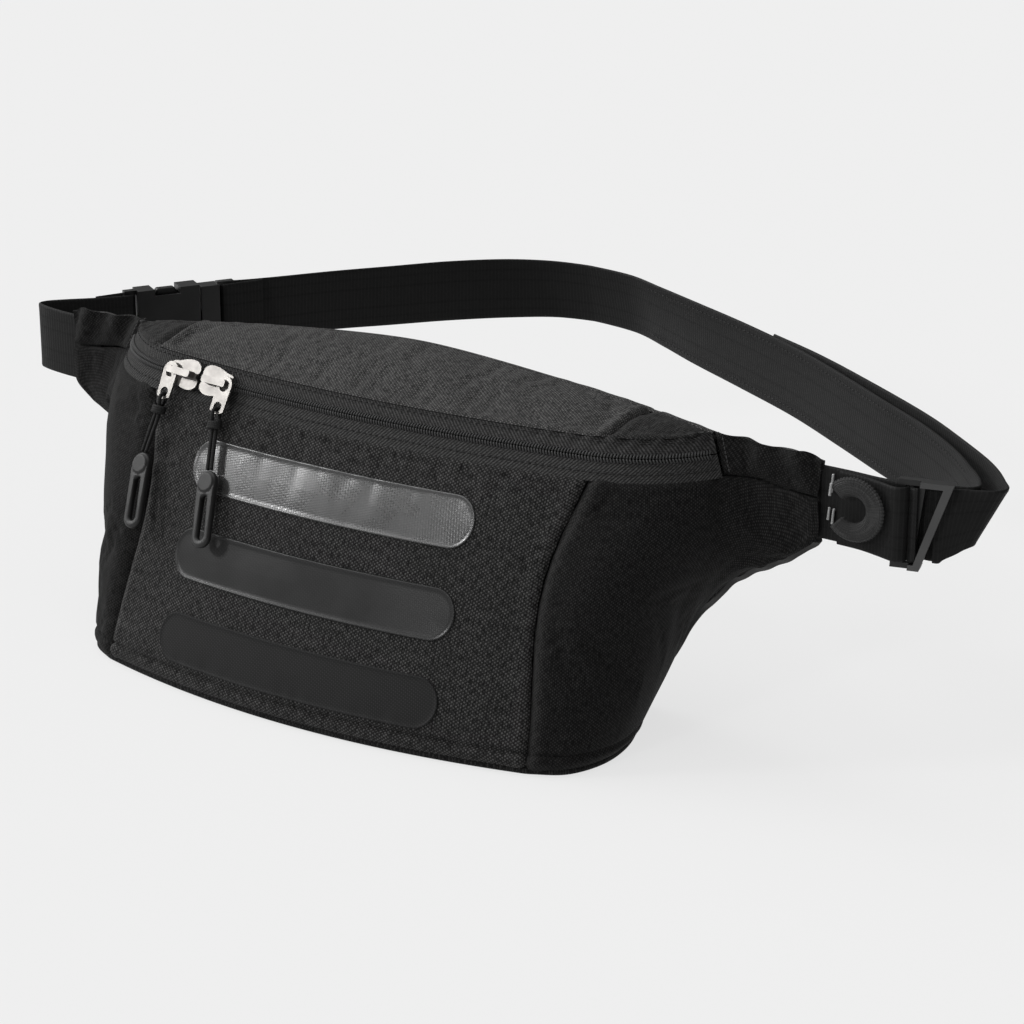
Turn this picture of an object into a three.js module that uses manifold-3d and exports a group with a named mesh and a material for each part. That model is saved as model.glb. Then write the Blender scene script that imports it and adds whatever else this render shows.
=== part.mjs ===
// A belt bag: a padded wedge-shaped body with a curved two-slider zip round its top edge, two
// side wings, and a webbing belt that closes with a side-release buckle on the left and runs
// through a ladder-lock adjuster on the right.
// Millimetres. +X is the wearer's left, seen from the front as the right-hand side, +Y points back
// to the wearer, +Z is up. The origin is on the floor under the middle of the body.
import * as THREE from "three";
import { mergeVertices } from "three/addons/utils/BufferGeometryUtils.js";
import Module from "manifold-3d";

const wasm = await Module();
wasm.setup();

// ---------------------------------------------------------------- driving dimensions
const GAP = 0.4; // between pieces that are sewn or rest together
const FABRIC = 2; // outer fabric, foam and backing of one panel
const WEB = 1.4; // thickness of the belt webbing
const WEB_WIDTH = 32;
const WEB_TOP = 128;
const WEB_MID = WEB_TOP - WEB_WIDTH / 2;

const BASE_T = 2.6; // bottom panel
const WALL_Z = BASE_T + 1.2; // where the walls start, clear of the bottom with their lean
const CORNER_X = 112.6; // front bottom corner
const FRONT_Y = -60; // front bottom seam at the middle
const FRONT_BOW = 850; // its bow: y rises by x * x / FRONT_BOW
const FRONT_PUFF = 2; // how far the front panel stands out between its seams
const BACK_FRONT = 44; // back panel, from its front face ...
const BACK_REAR = 48; // ... to the face that lies on the wearer
const WING_X = 200.5; // end of a wing
const WING_MID_Z = 113.6; // seam along the middle of a wing
const WING_Y = 39.6; // outer face of a wing at its end
const SIDE_Y = 41.2; // outer face of a side panel where it meets the back

const ZIP_Z = 127;
const ZIP_Y = -8; // chain centre at the middle of the bag
const ZIP_R = 667; // long front arc
const ZIP_CORNER_R = 62; // round the ends of the bag
const ZIP_BEND = Math.asin(112 / ZIP_R); // heading where the corner arc starts
const ZIP_STOP = THREE.MathUtils.degToRad(62); // heading at the end of the zip
const TAPE_LEAN = THREE.MathUtils.degToRad(27); // the tape leans back from upright
const TAPE_HALF = 9;
const TAPE_T = 0.8;
const TOP_EDGE = TAPE_HALF + 2.2; // where the lid fabric starts, up the tape
const CHAIN_GAP = 0.8; // from the centre line to each half of the chain
const CHAIN_HALF = 3.5;
const CHAIN_LOW = 0.3;
const CHAIN_HIGH = 2.3;

const LID_REAR_Y = 40.5; // rear edge of the lid, in front of its hinge line
const TOP_SEAM_X = 120.5; // seams between the top panel and its end pieces
const PATCH = { middle: -3, half: 75, radius: 10.6, thick: 0.6, centres: [94.2, 57.7, 22.5] };

// ---------------------------------------------------------------- small helpers
const vec = (x, y, z) => new THREE.Vector3(x, y, z);
const mix = THREE.MathUtils.lerp;
const curveOf = (points) =>
  new THREE.CatmullRomCurve3(points.map((p) => vec(...p)), false, "centripetal");

const group = new THREE.Group();

const FINISH = {
  canvas: new THREE.MeshStandardMaterial({ color: 0x2b2b2d, roughness: 0.85, metalness: 0 }),
  coated: new THREE.MeshStandardMaterial({ color: 0x1b1b1c, roughness: 0.25, metalness: 0 }),
  mesh: new THREE.MeshStandardMaterial({ color: 0x222224, roughness: 0.95, metalness: 0 }),
  lining: new THREE.MeshStandardMaterial({ color: 0x3c3c40, roughness: 0.8, metalness: 0 }),
  webbing: new THREE.MeshStandardMaterial({ color: 0x1c1c1e, roughness: 0.75, metalness: 0 }),
  zip: new THREE.MeshStandardMaterial({ color: 0x262628, roughness: 0.6, metalness: 0 }),
  nickel: new THREE.MeshStandardMaterial({ color: 0xc9c5bf, roughness: 0.32, metalness: 1 }),
  cord: new THREE.MeshStandardMaterial({ color: 0x141415, roughness: 0.7, metalness: 0 }),
  rubber: new THREE.MeshStandardMaterial({ color: 0x1e1e20, roughness: 0.5, metalness: 0 }),
  plastic: new THREE.MeshStandardMaterial({ color: 0x161617, roughness: 0.4, metalness: 0 }),
};

// Adds one named piece, placed by an optional matrix.
function piece(name, geometry, finish, matrix) {
  const made = new THREE.Mesh(geometry, FINISH[finish]);
  made.name = name;
  if (matrix) made.applyMatrix4(matrix);
  group.add(made);
}

function volumeOf(points, faces) {
  let six = 0;
  for (let i = 0; i < faces.length; i += 3) {
    const [a, b, c] = [points[faces[i]], points[faces[i + 1]], points[faces[i + 2]]];
    six += a.dot(b.clone().cross(c));
  }
  return six / 6;
}

// A closed solid from points and triangles, turned to face out.
function closed(points, faces) {
  if (volumeOf(points, faces) < 0)
    for (let i = 0; i < faces.length; i += 3) {
      [faces[i + 1], faces[i + 2]] = [faces[i + 2], faces[i + 1]];
    }
  const made = new THREE.BufferGeometry();
  made.setAttribute("position", new THREE.Float32BufferAttribute(points.flatMap((p) => [p.x, p.y, p.z]), 3));
  made.setIndex(faces);
  made.computeVertexNormals();
  return made;
}

// The solid between two surfaces of (u, v), both from 0 to 1, walled along its four edges.
function between(outer, inner, across, up) {
  const points = [];
  const row = up + 1;
  const layer = (across + 1) * row;
  for (const surface of [outer, inner])
    for (let i = 0; i <= across; i++)
      for (let j = 0; j <= up; j++) points.push(surface(i / across, j / up));
  const faces = [];
  const quad = (a, b, c, d) => faces.push(a, b, c, a, c, d);
  const at = (i, j, side) => side * layer + i * row + j;
  for (let i = 0; i < across; i++)
    for (let j = 0; j < up; j++) {
      quad(at(i, j, 0), at(i + 1, j, 0), at(i + 1, j + 1, 0), at(i, j + 1, 0));
      quad(at(i, j, 1), at(i, j + 1, 1), at(i + 1, j + 1, 1), at(i + 1, j, 1));
    }
  for (let i = 0; i < across; i++) {
    quad(at(i, 0, 0), at(i, 0, 1), at(i + 1, 0, 1), at(i + 1, 0, 0));
    quad(at(i, up, 0), at(i + 1, up, 0), at(i + 1, up, 1), at(i, up, 1));
  }
  for (let j = 0; j < up; j++) {
    quad(at(0, j, 0), at(0, j + 1, 0), at(0, j + 1, 1), at(0, j, 1));
    quad(at(across, j, 0), at(across, j, 1), at(across, j + 1, 1), at(across, j + 1, 0));
  }
  return closed(points, faces);
}

// A surface moved along its own normal, du x dv, by a distance.
function offset(surface, distance) {
  const step = 0.004;
  return (u, v) => {
    const u0 = Math.max(0, u - step);
    const u1 = Math.min(1, u + step);
    const v0 = Math.max(0, v - step);
    const v1 = Math.min(1, v + step);
    const du = surface(u1, v).sub(surface(u0, v));
    const dv = surface(u, v1).sub(surface(u, v0));
    return surface(u, v).addScaledVector(du.cross(dv).normalize(), distance);
  };
}

const sheet = (surface, low, high, across, up) =>
  between(offset(surface, high), offset(surface, low), across, up);

// Coons patch: front and back are curves of v, bottom and top are curves of u.
function patch(front, back, bottom, top) {
  return (u, v) => {
    const ruledU = front(v).lerp(back(v), u);
    const ruledV = bottom(u).lerp(top(u), v);
    const corners = front(0).lerp(back(0), u).lerp(front(1).lerp(back(1), u), v);
    return ruledU.add(ruledV).sub(corners);
  };
}

const mirrored = (surface) => (u, v) => {
  const p = surface(u, v);
  return vec(-p.x, p.y, p.z);
};

// ---------------------------------------------------------------- solids that are joined and cut
function solid(geometry) {
  const bare = geometry.index ? geometry.toNonIndexed() : geometry.clone();
  bare.deleteAttribute("normal");
  bare.deleteAttribute("uv");
  const merged = mergeVertices(bare, 1e-4);
  const vertProperties = new Float32Array(merged.attributes.position.array);
  const triVerts = new Uint32Array(merged.index.array);
  return new wasm.Manifold(new wasm.Mesh({ numProp: 3, vertProperties, triVerts }));
}

function geometryOf(made) {
  const mesh = made.getMesh();
  const geometry = new THREE.BufferGeometry();
  geometry.setAttribute("position", new THREE.Float32BufferAttribute(mesh.vertProperties, 3));
  geometry.setIndex([...mesh.triVerts]);
  geometry.computeVertexNormals();
  return geometry;
}

// A box between two corners.
function block([x0, y0, z0], [x1, y1, z1]) {
  const box = new THREE.BoxGeometry(x1 - x0, y1 - y0, z1 - z0);
  return solid(box.translate((x0 + x1) / 2, (y0 + y1) / 2, (z0 + z1) / 2));
}

// A plate: an outline in XY, from one height to another.
function plate(shape, low, high, segments = 4) {
  const made = new THREE.ExtrudeGeometry(shape, {
    depth: high - low,
    bevelEnabled: false,
    curveSegments: segments,
  });
  return solid(made.translate(0, 0, low));
}

// A box with rounded corners in XY.
function roundedPlate(x0, y0, x1, y1, radius, low, high) {
  const s = new THREE.Shape();
  s.moveTo(x0 + radius, y0);
  s.lineTo(x1 - radius, y0);
  s.absarc(x1 - radius, y0 + radius, radius, -Math.PI / 2, 0, false);
  s.lineTo(x1, y1 - radius);
  s.absarc(x1 - radius, y1 - radius, radius, 0, Math.PI / 2, false);
  s.lineTo(x0 + radius, y1);
  s.absarc(x0 + radius, y1 - radius, radius, Math.PI / 2, Math.PI, false);
  s.lineTo(x0, y0 + radius);
  s.absarc(x0 + radius, y0 + radius, radius, Math.PI, 1.5 * Math.PI, false);
  return plate(s, low, high);
}

function disc(x, y, radius, low, high) {
  const s = new THREE.Shape();
  s.absarc(x, y, radius, 0, 2 * Math.PI, false);
  return plate(s, low, high, 12);
}

// ---------------------------------------------------------------- the zip's line
// The chain's centre at a share t of its half length, from -1 at the left end to 1 at the right,
// with the axes along the chain, up the tape, and out of the tape.
const FRONT_RUN = ZIP_R * ZIP_BEND;
const ZIP_RUN = FRONT_RUN + ZIP_CORNER_R * (ZIP_STOP - ZIP_BEND);

function zipFrame(t) {
  const run = Math.abs(t) * ZIP_RUN;
  const side = t < 0 ? -1 : 1;
  let heading = run / ZIP_R;
  let x = ZIP_R * Math.sin(heading);
  let y = ZIP_Y + ZIP_R * (1 - Math.cos(heading));
  if (run > FRONT_RUN) {
    heading = ZIP_BEND + (run - FRONT_RUN) / ZIP_CORNER_R;
    x = ZIP_R * Math.sin(ZIP_BEND) + ZIP_CORNER_R * (Math.sin(heading) - Math.sin(ZIP_BEND));
    y = ZIP_Y + ZIP_R * (1 - Math.cos(ZIP_BEND));
    y += ZIP_CORNER_R * (Math.cos(ZIP_BEND) - Math.cos(heading));
  }
  const along = vec(Math.cos(heading), side * Math.sin(heading), 0);
  const level = vec(side * Math.sin(heading), -Math.cos(heading), 0);
  const up = vec(0, 0, Math.cos(TAPE_LEAN)).addScaledVector(level, -Math.sin(TAPE_LEAN));
  const out = along.clone().cross(up);
  return { at: vec(side * x, y, ZIP_Z), along, up, out };
}

// A point beside the chain: up the tape and out of it.
function beside(t, up, out = 0) {
  const f = zipFrame(t);
  return f.at.addScaledVector(f.up, up).addScaledVector(f.out, out);
}

const shareAt = (x) => (ZIP_R * Math.asin(Math.min(x, 112) / ZIP_R) + Math.max(0, x - 112)) / ZIP_RUN;

// ---------------------------------------------------------------- body panels
// Half width of the front panel at a share v of its height: pinched in above its middle.
const seamX = (v) => mix(CORNER_X, 115.4, v) - 8.6 * Math.sin(Math.PI * v ** 1.35) ** 1.2;

function frontPoint(x, v) {
  const top = beside(Math.sign(x) * shareAt(Math.abs(x)), -TAPE_HALF - GAP);
  const z = mix(WALL_Z, top.z, v);
  const y = mix(FRONT_Y + (x * x) / FRONT_BOW, top.y, v);
  return vec(x, y - FRONT_PUFF * Math.sin(Math.PI * v), z);
}

const frontSurface = (u, v) => frontPoint(mix(-1, 1, u) * seamX(v), v);

// Plan of the body's side at the floor, from the front corner to the back.
const SIDE_FOOT = curveOf([
  [CORNER_X + 0.6, FRONT_Y + CORNER_X ** 2 / FRONT_BOW, WALL_Z],
  [128, -36, WALL_Z],
  [135.5, -18, WALL_Z],
  [134, 6, WALL_Z],
  [125, 26, WALL_Z],
  [112.5, SIDE_Y, WALL_Z],
]);

// Where a side panel meets the back: up the body and out under the wing.
const SIDE_BACK = curveOf([
  [112.5, SIDE_Y, WALL_Z],
  [126.5, SIDE_Y, 22],
  [140.5, SIDE_Y, 45],
  [153, SIDE_Y, 62],
  [167, SIDE_Y, 74.5],
  [181, 40.6, 82],
  [194, WING_Y, 90.5],
  [WING_X, WING_Y, 97],
  [WING_X, WING_Y, WING_MID_Z],
]);

function zipThenWing() {
  const points = [];
  const first = shareAt(seamX(1) + 0.6);
  for (let i = 0; i <= 6; i++) points.push(beside(mix(first, 1, i / 6), -TAPE_HALF - GAP));
  points.push(vec(172, 38.2, 117.5), vec(186, 39.4, 115), vec(WING_X, WING_Y, WING_MID_Z));
  return new THREE.CatmullRomCurve3(points, false, "centripetal");
}
const SIDE_TOP = zipThenWing();

const sideSurface = patch(
  (v) => frontPoint(seamX(v), v).add(vec(0.6, 0, 0)),
  (v) => SIDE_BACK.getPoint(v),
  (u) => SIDE_FOOT.getPoint(u),
  (u) => SIDE_TOP.getPoint(u),
);

const rearZ = (x) => 149 - 0.062 * (Math.hypot(x, 20) - 20) - 0.0003 * x * x;

function topSurface(u, v) {
  const x = mix(-TOP_SEAM_X, TOP_SEAM_X, u);
  const front = beside(Math.sign(x) * shareAt(Math.abs(x)), TOP_EDGE);
  const rear = vec(x, LID_REAR_Y, rearZ(x));
  return front.lerp(rear, v).add(vec(0, 0, 2 * Math.sin(Math.PI * v)));
}

function topEndSurface() {
  const first = TOP_SEAM_X + GAP;
  const start = shareAt(first + 2.2);
  const edge = (u) => beside(mix(start, 0.99, u), TOP_EDGE);
  const seam = curveOf([
    edge(0).toArray(),
    [first, 17, 138],
    [first, LID_REAR_Y, rearZ(first)],
  ]);
  const tip = edge(1);
  const rear = curveOf([
    [first, LID_REAR_Y, rearZ(first)],
    [138, LID_REAR_Y, rearZ(138)],
    [tip.x + 0.2, LID_REAR_Y, tip.z - 1.8],
  ]);
  return patch(
    (v) => seam.getPoint(v),
    (v) => tip.clone().lerp(rear.getPoint(1), v),
    edge,
    (u) => rear.getPoint(u),
  );
}

function wingTopSurface() {
  const f = zipFrame(1);
  const foot = f.at.clone().addScaledVector(f.along, 1.2).addScaledVector(f.up, -TAPE_HALF);
  const head = f.at.clone().addScaledVector(f.along, 1.2).addScaledVector(f.up, TAPE_HALF);
  const low = curveOf([
    foot.toArray(),
    [172, 38.2, 118.1],
    [186, 39.4, 115.6],
    [WING_X, WING_Y, WING_MID_Z + 0.6],
  ]);
  const high = curveOf([
    head.toArray(),
    [166, 39.8, 133],
    [184, WING_Y, 130.5],
    [WING_X + 0.5, WING_Y, WEB_TOP + 0.5],
  ]);
  return patch(
    (v) => foot.clone().lerp(head, v),
    (v) => low.getPoint(1).lerp(high.getPoint(1), v),
    (u) => low.getPoint(u),
    (u) => high.getPoint(u),
  );
}

// Outline of the bottom panel: the bowed front, the sides and the straight back.
function bottomOutline() {
  const side = SIDE_FOOT.getPoints(10);
  const half = [];
  for (let i = 0; i <= 8; i++) {
    const x = (CORNER_X * i) / 8;
    half.push([x, FRONT_Y + (x * x) / FRONT_BOW]);
  }
  side.slice(1).forEach((p) => half.push([p.x, Math.min(p.y, BACK_FRONT - GAP)]));
  half[half.length - 1][1] = BACK_FRONT - GAP;
  const all = [...half, ...half.slice(1).reverse().map(([x, y]) => [-x, y])];
  return new THREE.Shape(all.map(([x, y]) => new THREE.Vector2(x, y)));
}

// Outline of the back panel in X and Z, wings included.
function backOutline() {
  const half = SIDE_BACK.getPoints(16).map((p) => [p.x, p.z]);
  half[0] = [half[0][0], 0];
  half.pop();
  half.push([WING_X, WEB_TOP + 0.5], [176, 129.5]);
  for (let x = 160; x >= 0; x -= 20) half.push([x, 145.5 - 15 * (x / 160) ** 2]);
  const all = [...half, ...half.slice(0, -1).reverse().map(([x, z]) => [-x, z])];
  return new THREE.Shape(all.map(([x, z]) => new THREE.Vector2(x, z)));
}

function bodyPanels() {
  piece("front_panel", sheet(frontSurface, -FABRIC, 0, 20, 6), "canvas");
  const side = sheet(sideSurface, -FABRIC, 0, 14, 8);
  piece("side_panel_right", side, "canvas");
  piece("side_panel_left", sheet(mirrored(sideSurface), 0, FABRIC, 14, 8), "canvas");
  piece("top_panel", sheet(topSurface, -FABRIC, 0, 20, 5), "canvas");
  const end = topEndSurface();
  piece("top_end_right", sheet(end, -FABRIC, 0, 8, 5), "canvas");
  piece("top_end_left", sheet(mirrored(end), 0, FABRIC, 8, 5), "canvas");
  const wing = wingTopSurface();
  piece("wing_top_right", sheet(wing, -FABRIC, 0, 8, 3), "canvas");
  piece("wing_top_left", sheet(mirrored(wing), 0, FABRIC, 8, 3), "canvas");
  piece("bottom_panel", geometryOf(plate(bottomOutline(), 0, BASE_T)), "canvas");
  const stand = new THREE.Matrix4().makeRotationX(Math.PI / 2).setPosition(0, BACK_REAR, 0);
  piece("back_panel", geometryOf(plate(backOutline(), 0, BACK_REAR - BACK_FRONT)), "mesh", stand);
}

// ---------------------------------------------------------------- lining
// One open-topped bucket just inside the panels.
function lining() {
  const clear = FABRIC + 0.6;
  const thick = 0.8;
  const low = BASE_T + 0.6;
  const high = 112;
  const rows = 4;
  const round = 20;
  // The hollow's plan at a share v of its height: bowed front, slanted ends, flat back.
  const ring = (v, inset) => {
    const z = mix(low, high, v);
    const points = [];
    const share = (z - WALL_Z) / (118.6 - WALL_Z);
    const half = mix(104, 101, share) - inset;
    const back = BACK_FRONT - 3.4 - inset;
    for (let i = 0; i <= round / 2; i++) {
      const x = mix(-half, half, (2 * i) / round);
      points.push(vec(x, frontPoint(x, share).y + clear + inset + 0.6, z));
    }
    for (let i = 0; i <= round / 2; i++) points.push(vec(mix(half, -half, (2 * i) / round), back, z));
    return points;
  };
  const count = round + 2;
  const points = [];
  for (let j = 0; j <= rows; j++) points.push(...ring(j / rows, 0));
  for (let j = 0; j <= rows; j++) {
    const inner = ring(j / rows, thick);
    if (j === 0) inner.forEach((p) => (p.z += thick));
    points.push(...inner);
  }
  const faces = [];
  const at = (layer, j, i) => (layer * (rows + 1) + j) * count + (i % count);
  const quad = (a, b, c, d) => faces.push(a, b, c, a, c, d);
  for (let j = 0; j < rows; j++)
    for (let i = 0; i < count; i++) {
      quad(at(0, j, i), at(0, j, i + 1), at(0, j + 1, i + 1), at(0, j + 1, i));
      quad(at(1, j, i), at(1, j + 1, i), at(1, j + 1, i + 1), at(1, j, i + 1));
    }
  for (let i = 0; i < count; i++) quad(at(0, rows, i), at(0, rows, i + 1), at(1, rows, i + 1), at(1, rows, i));
  // The floor is strips from the front edge to the back edge.
  for (let i = 0; i < round / 2; i++) {
    const back = count - 1 - i;
    quad(at(0, 0, i), at(0, 0, back), at(0, 0, back - 1), at(0, 0, i + 1));
    quad(at(1, 0, i), at(1, 0, i + 1), at(1, 0, back - 1), at(1, 0, back));
  }
  piece("lining", closed(points, faces), "lining");
}

// ---------------------------------------------------------------- front patches
// Three pill-shaped coated patches that follow the front panel.
function frontPatches() {
  const height = frontPoint(0, 1).z - WALL_Z;
  ["upper", "middle", "lower"].forEach((name, i) => {
    const surface = (u, v) => {
      const x = mix(-PATCH.half, PATCH.half, u);
      const end = Math.max(0, Math.abs(x) - (PATCH.half - PATCH.radius));
      const half = Math.max(1, Math.sqrt(Math.max(0, PATCH.radius ** 2 - end ** 2)));
      const z = PATCH.centres[i] + mix(-half, half, v);
      return frontPoint(x + PATCH.middle, (z - WALL_Z) / height);
    };
    const shaped = (u, v) => surface(0.5 - 0.5 * Math.cos(Math.PI * u), v);
    piece(`patch_${name}`, sheet(shaped, 0.3, 0.3 + PATCH.thick, 20, 2), "coated");
  });
}

// ---------------------------------------------------------------- zip tapes and chains
function zip() {
  const strip = (lowUp, highUp, lowOut, highOut, along) =>
    between(
      (u, v) => beside(mix(-1, 1, u), mix(lowUp, highUp, v), highOut),
      (u, v) => beside(mix(-1, 1, u), mix(lowUp, highUp, v), lowOut),
      along,
      1,
    );
  piece("zip_tape_lower", strip(-TAPE_HALF, -CHAIN_GAP, -TAPE_T, 0, 44), "zip");
  piece("zip_tape_upper", strip(CHAIN_GAP, TAPE_HALF, -TAPE_T, 0, 44), "zip");
  piece("zip_chain_lower", strip(-CHAIN_HALF, -CHAIN_GAP, CHAIN_LOW, CHAIN_HIGH, 44), "zip");
  piece("zip_chain_upper", strip(CHAIN_GAP, CHAIN_HALF, CHAIN_LOW, CHAIN_HIGH, 44), "zip");
}

// ---------------------------------------------------------------- sliders and their pulls
const SLIDER = {
  nose: 10, // end where the closed chain comes out
  mouth: -8.6,
  inner: [-2.3, -1.2], // plate behind the tape
  outer: [2.7, 3.8], // plate over the chain
  bridge: [6.2, 7.4], // top bar of the bridge
  peg: 7.6, // where the bridge comes down, and the tab hangs
  tab: [4.8, 5.8], // the pull tab lies between the outer plate and the bridge
};
const TAB_EYE = -10.6; // centre of the tab's lower hole, down the tape from the chain
const EYE_R = 2.3;
const TAB_BAR = TAB_EYE - EYE_R - 0.5; // middle of the bar below the eye, which the cord loops round
const CORD_R = 0.9;
const LOOP_R = 2; // from the middle of the bar to the middle of the cord

// Outline of a slider plate: two lobes at its mouth, narrow where the closed chain comes out.
function sliderOutline() {
  const { nose, mouth } = SLIDER;
  const s = new THREE.Shape();
  s.moveTo(nose, -3.4);
  s.lineTo(nose, 3.4);
  s.quadraticCurveTo(nose - 0.2, 4.4, nose - 1.4, 4.6);
  s.bezierCurveTo(4, 5, 2, 6.9, -2.6, 6.9);
  s.bezierCurveTo(-6, 7, mouth, 5.4, mouth, 3.2);
  s.quadraticCurveTo(mouth + 0.2, 1.2, mouth + 1.8, 0.9);
  s.lineTo(mouth + 1.8, -0.9);
  s.quadraticCurveTo(mouth + 0.2, -1.2, mouth, -3.2);
  s.bezierCurveTo(mouth, -5.4, -6, -7, -2.6, -6.9);
  s.bezierCurveTo(2, -6.9, 4, -5, nose - 1.4, -4.6);
  s.quadraticCurveTo(nose - 0.2, -4.4, nose, -3.4);
  return s;
}

function sliderBody() {
  const { inner, outer, bridge, peg } = SLIDER;
  return plate(sliderOutline(), ...outer)
    .add(plate(sliderOutline(), ...inner))
    .add(block([-4, -0.45, inner[1] - 0.4], [1.5, 0.45, outer[0] + 0.4]))
    .add(roundedPlate(-5.4, -1.6, peg + 1.4, 1.6, 0.9, ...bridge))
    .add(roundedPlate(-5.4, -1.6, -3.4, 1.6, 0.6, outer[1] - 0.3, bridge[0] + 0.3))
    .add(roundedPlate(peg - 1, -1.3, peg + 1.4, 1.3, 0.6, outer[1] - 0.3, bridge[0] + 0.3));
}

// The tab: an eye round the peg, and a lower eye for the cord.
function sliderTab() {
  const { peg, tab } = SLIDER;
  const s = new THREE.Shape();
  s.moveTo(peg - 4, -12.4);
  s.quadraticCurveTo(peg, -15.4, peg + 4, -12.4);
  s.lineTo(peg + 4.6, -1);
  s.absarc(peg + 0.2, -0.6, 4.4, 0, Math.PI, false);
  s.lineTo(peg - 4, -12.4);
  return plate(s, ...tab)
    .subtract(disc(peg + 0.2, -0.8, 2.7, tab[0] - 1, tab[1] + 1))
    .subtract(disc(peg, TAB_EYE, EYE_R, tab[0] - 1, tab[1] + 1));
}

const GRIP_TOP = -39.4;
const GRIP_LOW = -74;
// Where each slider stands, how its cord swings, and how its grip hangs from the cord, in degrees.
const PULLS = {
  left: { x: -94.6, swing: 2, hang: -14 },
  right: { x: -76, swing: 14, hang: 0 },
};

// A solid turned about a point of its own XY plane.
const swung = (made, [x, y], degrees) =>
  made.translate([-x, -y, 0]).rotate([0, 0, degrees]).translate([x, y, 0]);

// A doubled cord looped round the tab's lower bar, knotted below it.
function pullCord({ swing }) {
  const x = SLIDER.peg;
  const mid = (SLIDER.tab[0] + SLIDER.tab[1]) / 2;
  const strand = (side) => [
    [x - 1.1 * side, GRIP_TOP + GAP, mid],
    [x - 1.1 * side, -31, mid],
    [x - 1.05 * side, -22.5, mid],
    [x - 0.8 * side, -18.6, mid + 0.5 * side],
    [x - 0.5 * side, -16, mid + 1.7 * side],
    [x - 0.2 * side, TAB_BAR, mid + LOOP_R * side],
    [x - 0.1 * side, TAB_BAR + LOOP_R * Math.SQRT1_2, mid + LOOP_R * Math.SQRT1_2 * side],
  ];
  const path = curveOf([...strand(1), [x, TAB_BAR + LOOP_R, mid], ...strand(-1).reverse()]);
  const section = new THREE.Shape();
  section.absarc(0, 0, CORD_R, 0, 2 * Math.PI, false);
  const tube = new THREE.ExtrudeGeometry(section, { steps: 40, extrudePath: path, curveSegments: 3 });
  const knot = new THREE.SphereGeometry(1, 8, 6).scale(2.7, 2.4, 2).translate(x, -18.6, mid);
  return swung(solid(tube).add(solid(knot)), [x, TAB_BAR], swing);
}

// A rubber grip: a stadium with a long slot and a plain round boss.
function pullGrip({ swing, hang }) {
  const x = SLIDER.peg;
  const mid = (SLIDER.tab[0] + SLIDER.tab[1]) / 2;
  const made = roundedPlate(x - 5, GRIP_LOW, x + 5, GRIP_TOP, 4.9, mid - 1.6, mid + 1.6)
    .add(disc(x, GRIP_TOP - 5.4, 4.3, mid + 1, mid + 2.1))
    .subtract(roundedPlate(x - 1.7, GRIP_LOW + 3.8, x + 1.7, GRIP_TOP - 11.6, 1.6, mid - 3, mid + 3));
  return swung(swung(made, [x, GRIP_TOP], hang), [x, TAB_BAR], swing);
}

// The matrix that puts a slider's own frame on the chain; a left slider points the other way.
function onChain(x) {
  const f = zipFrame(Math.sign(x) * shareAt(Math.abs(x)));
  return new THREE.Matrix4().makeBasis(f.along, f.up, f.out).setPosition(f.at);
}

function sliders() {
  const flip = new THREE.Matrix4().makeScale(-1, 1, 1);
  for (const [side, pull] of Object.entries(PULLS)) {
    const place = onChain(pull.x);
    const put = side === "left" ? place.clone().multiply(flip) : place;
    piece(`slider_${side}`, geometryOf(sliderBody()), "nickel", put);
    piece(`pull_tab_${side}`, geometryOf(sliderTab()), "nickel", put);
    piece(`pull_cord_${side}`, geometryOf(pullCord(pull)), "cord", put);
    piece(`pull_grip_${side}`, geometryOf(pullGrip(pull)), "rubber", put);
  }
}

// ---------------------------------------------------------------- webbing
// A band of webbing ruled between the curves of its top and bottom edges.
function band(top, bottom) {
  const upper = curveOf(top);
  const lower = curveOf(bottom);
  return (u, v) => upper.getPoint(u).lerp(lower.getPoint(u), v);
}

// Top and bottom edge points of an upright strap, from points in plan.
const upright = (plan) => ({
  top: plan.map(([x, y]) => [x, y, WEB_TOP]),
  bottom: plan.map(([x, y]) => [x, y, WEB_TOP - WEB_WIDTH]),
});

function uprightBand(plan) {
  const { top, bottom } = upright(plan);
  return band(top, bottom);
}

// Points of a turn in plan about a centre, between two angles in degrees.
function turn([x, y], radius, from, to, steps) {
  const points = [];
  for (let i = 0; i <= steps; i++) {
    const angle = THREE.MathUtils.degToRad(mix(from, to, i / steps));
    points.push([x + radius * Math.cos(angle), y + radius * Math.sin(angle)]);
  }
  return points;
}

// Buckle: its frame in plan has s along the belt and e towards the bag.
const BUCKLE = { x: -205, y: 84, heading: Math.atan2(0.848, 0.529) };
const buckleFrame = new THREE.Matrix4()
  .makeRotationZ(BUCKLE.heading)
  .setPosition(BUCKLE.x, BUCKLE.y, WEB_MID);
const buckleDegrees = THREE.MathUtils.radToDeg(BUCKLE.heading);

function alongBuckle(s, e) {
  const p = vec(s, -e, 0).applyMatrix4(buckleFrame);
  return [p.x, p.y];
}

// Adjuster: a runs from its fixed bar to its outer bar, b points back.
const ADJUSTER = { x: 238, y: 38, heading: THREE.MathUtils.degToRad(14) };
const adjusterFrame = new THREE.Matrix4()
  .makeRotationZ(ADJUSTER.heading)
  .setPosition(ADJUSTER.x, ADJUSTER.y, WEB_MID);

function onAdjuster(a, b) {
  const p = vec(a, b, 0).applyMatrix4(adjusterFrame);
  return [p.x, p.y];
}

const MALE_BAR = 53.5; // the belt's bar in the male half, along s
const MIDDLE_BAR = 7.4; // the adjuster's middle bar, along a

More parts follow.
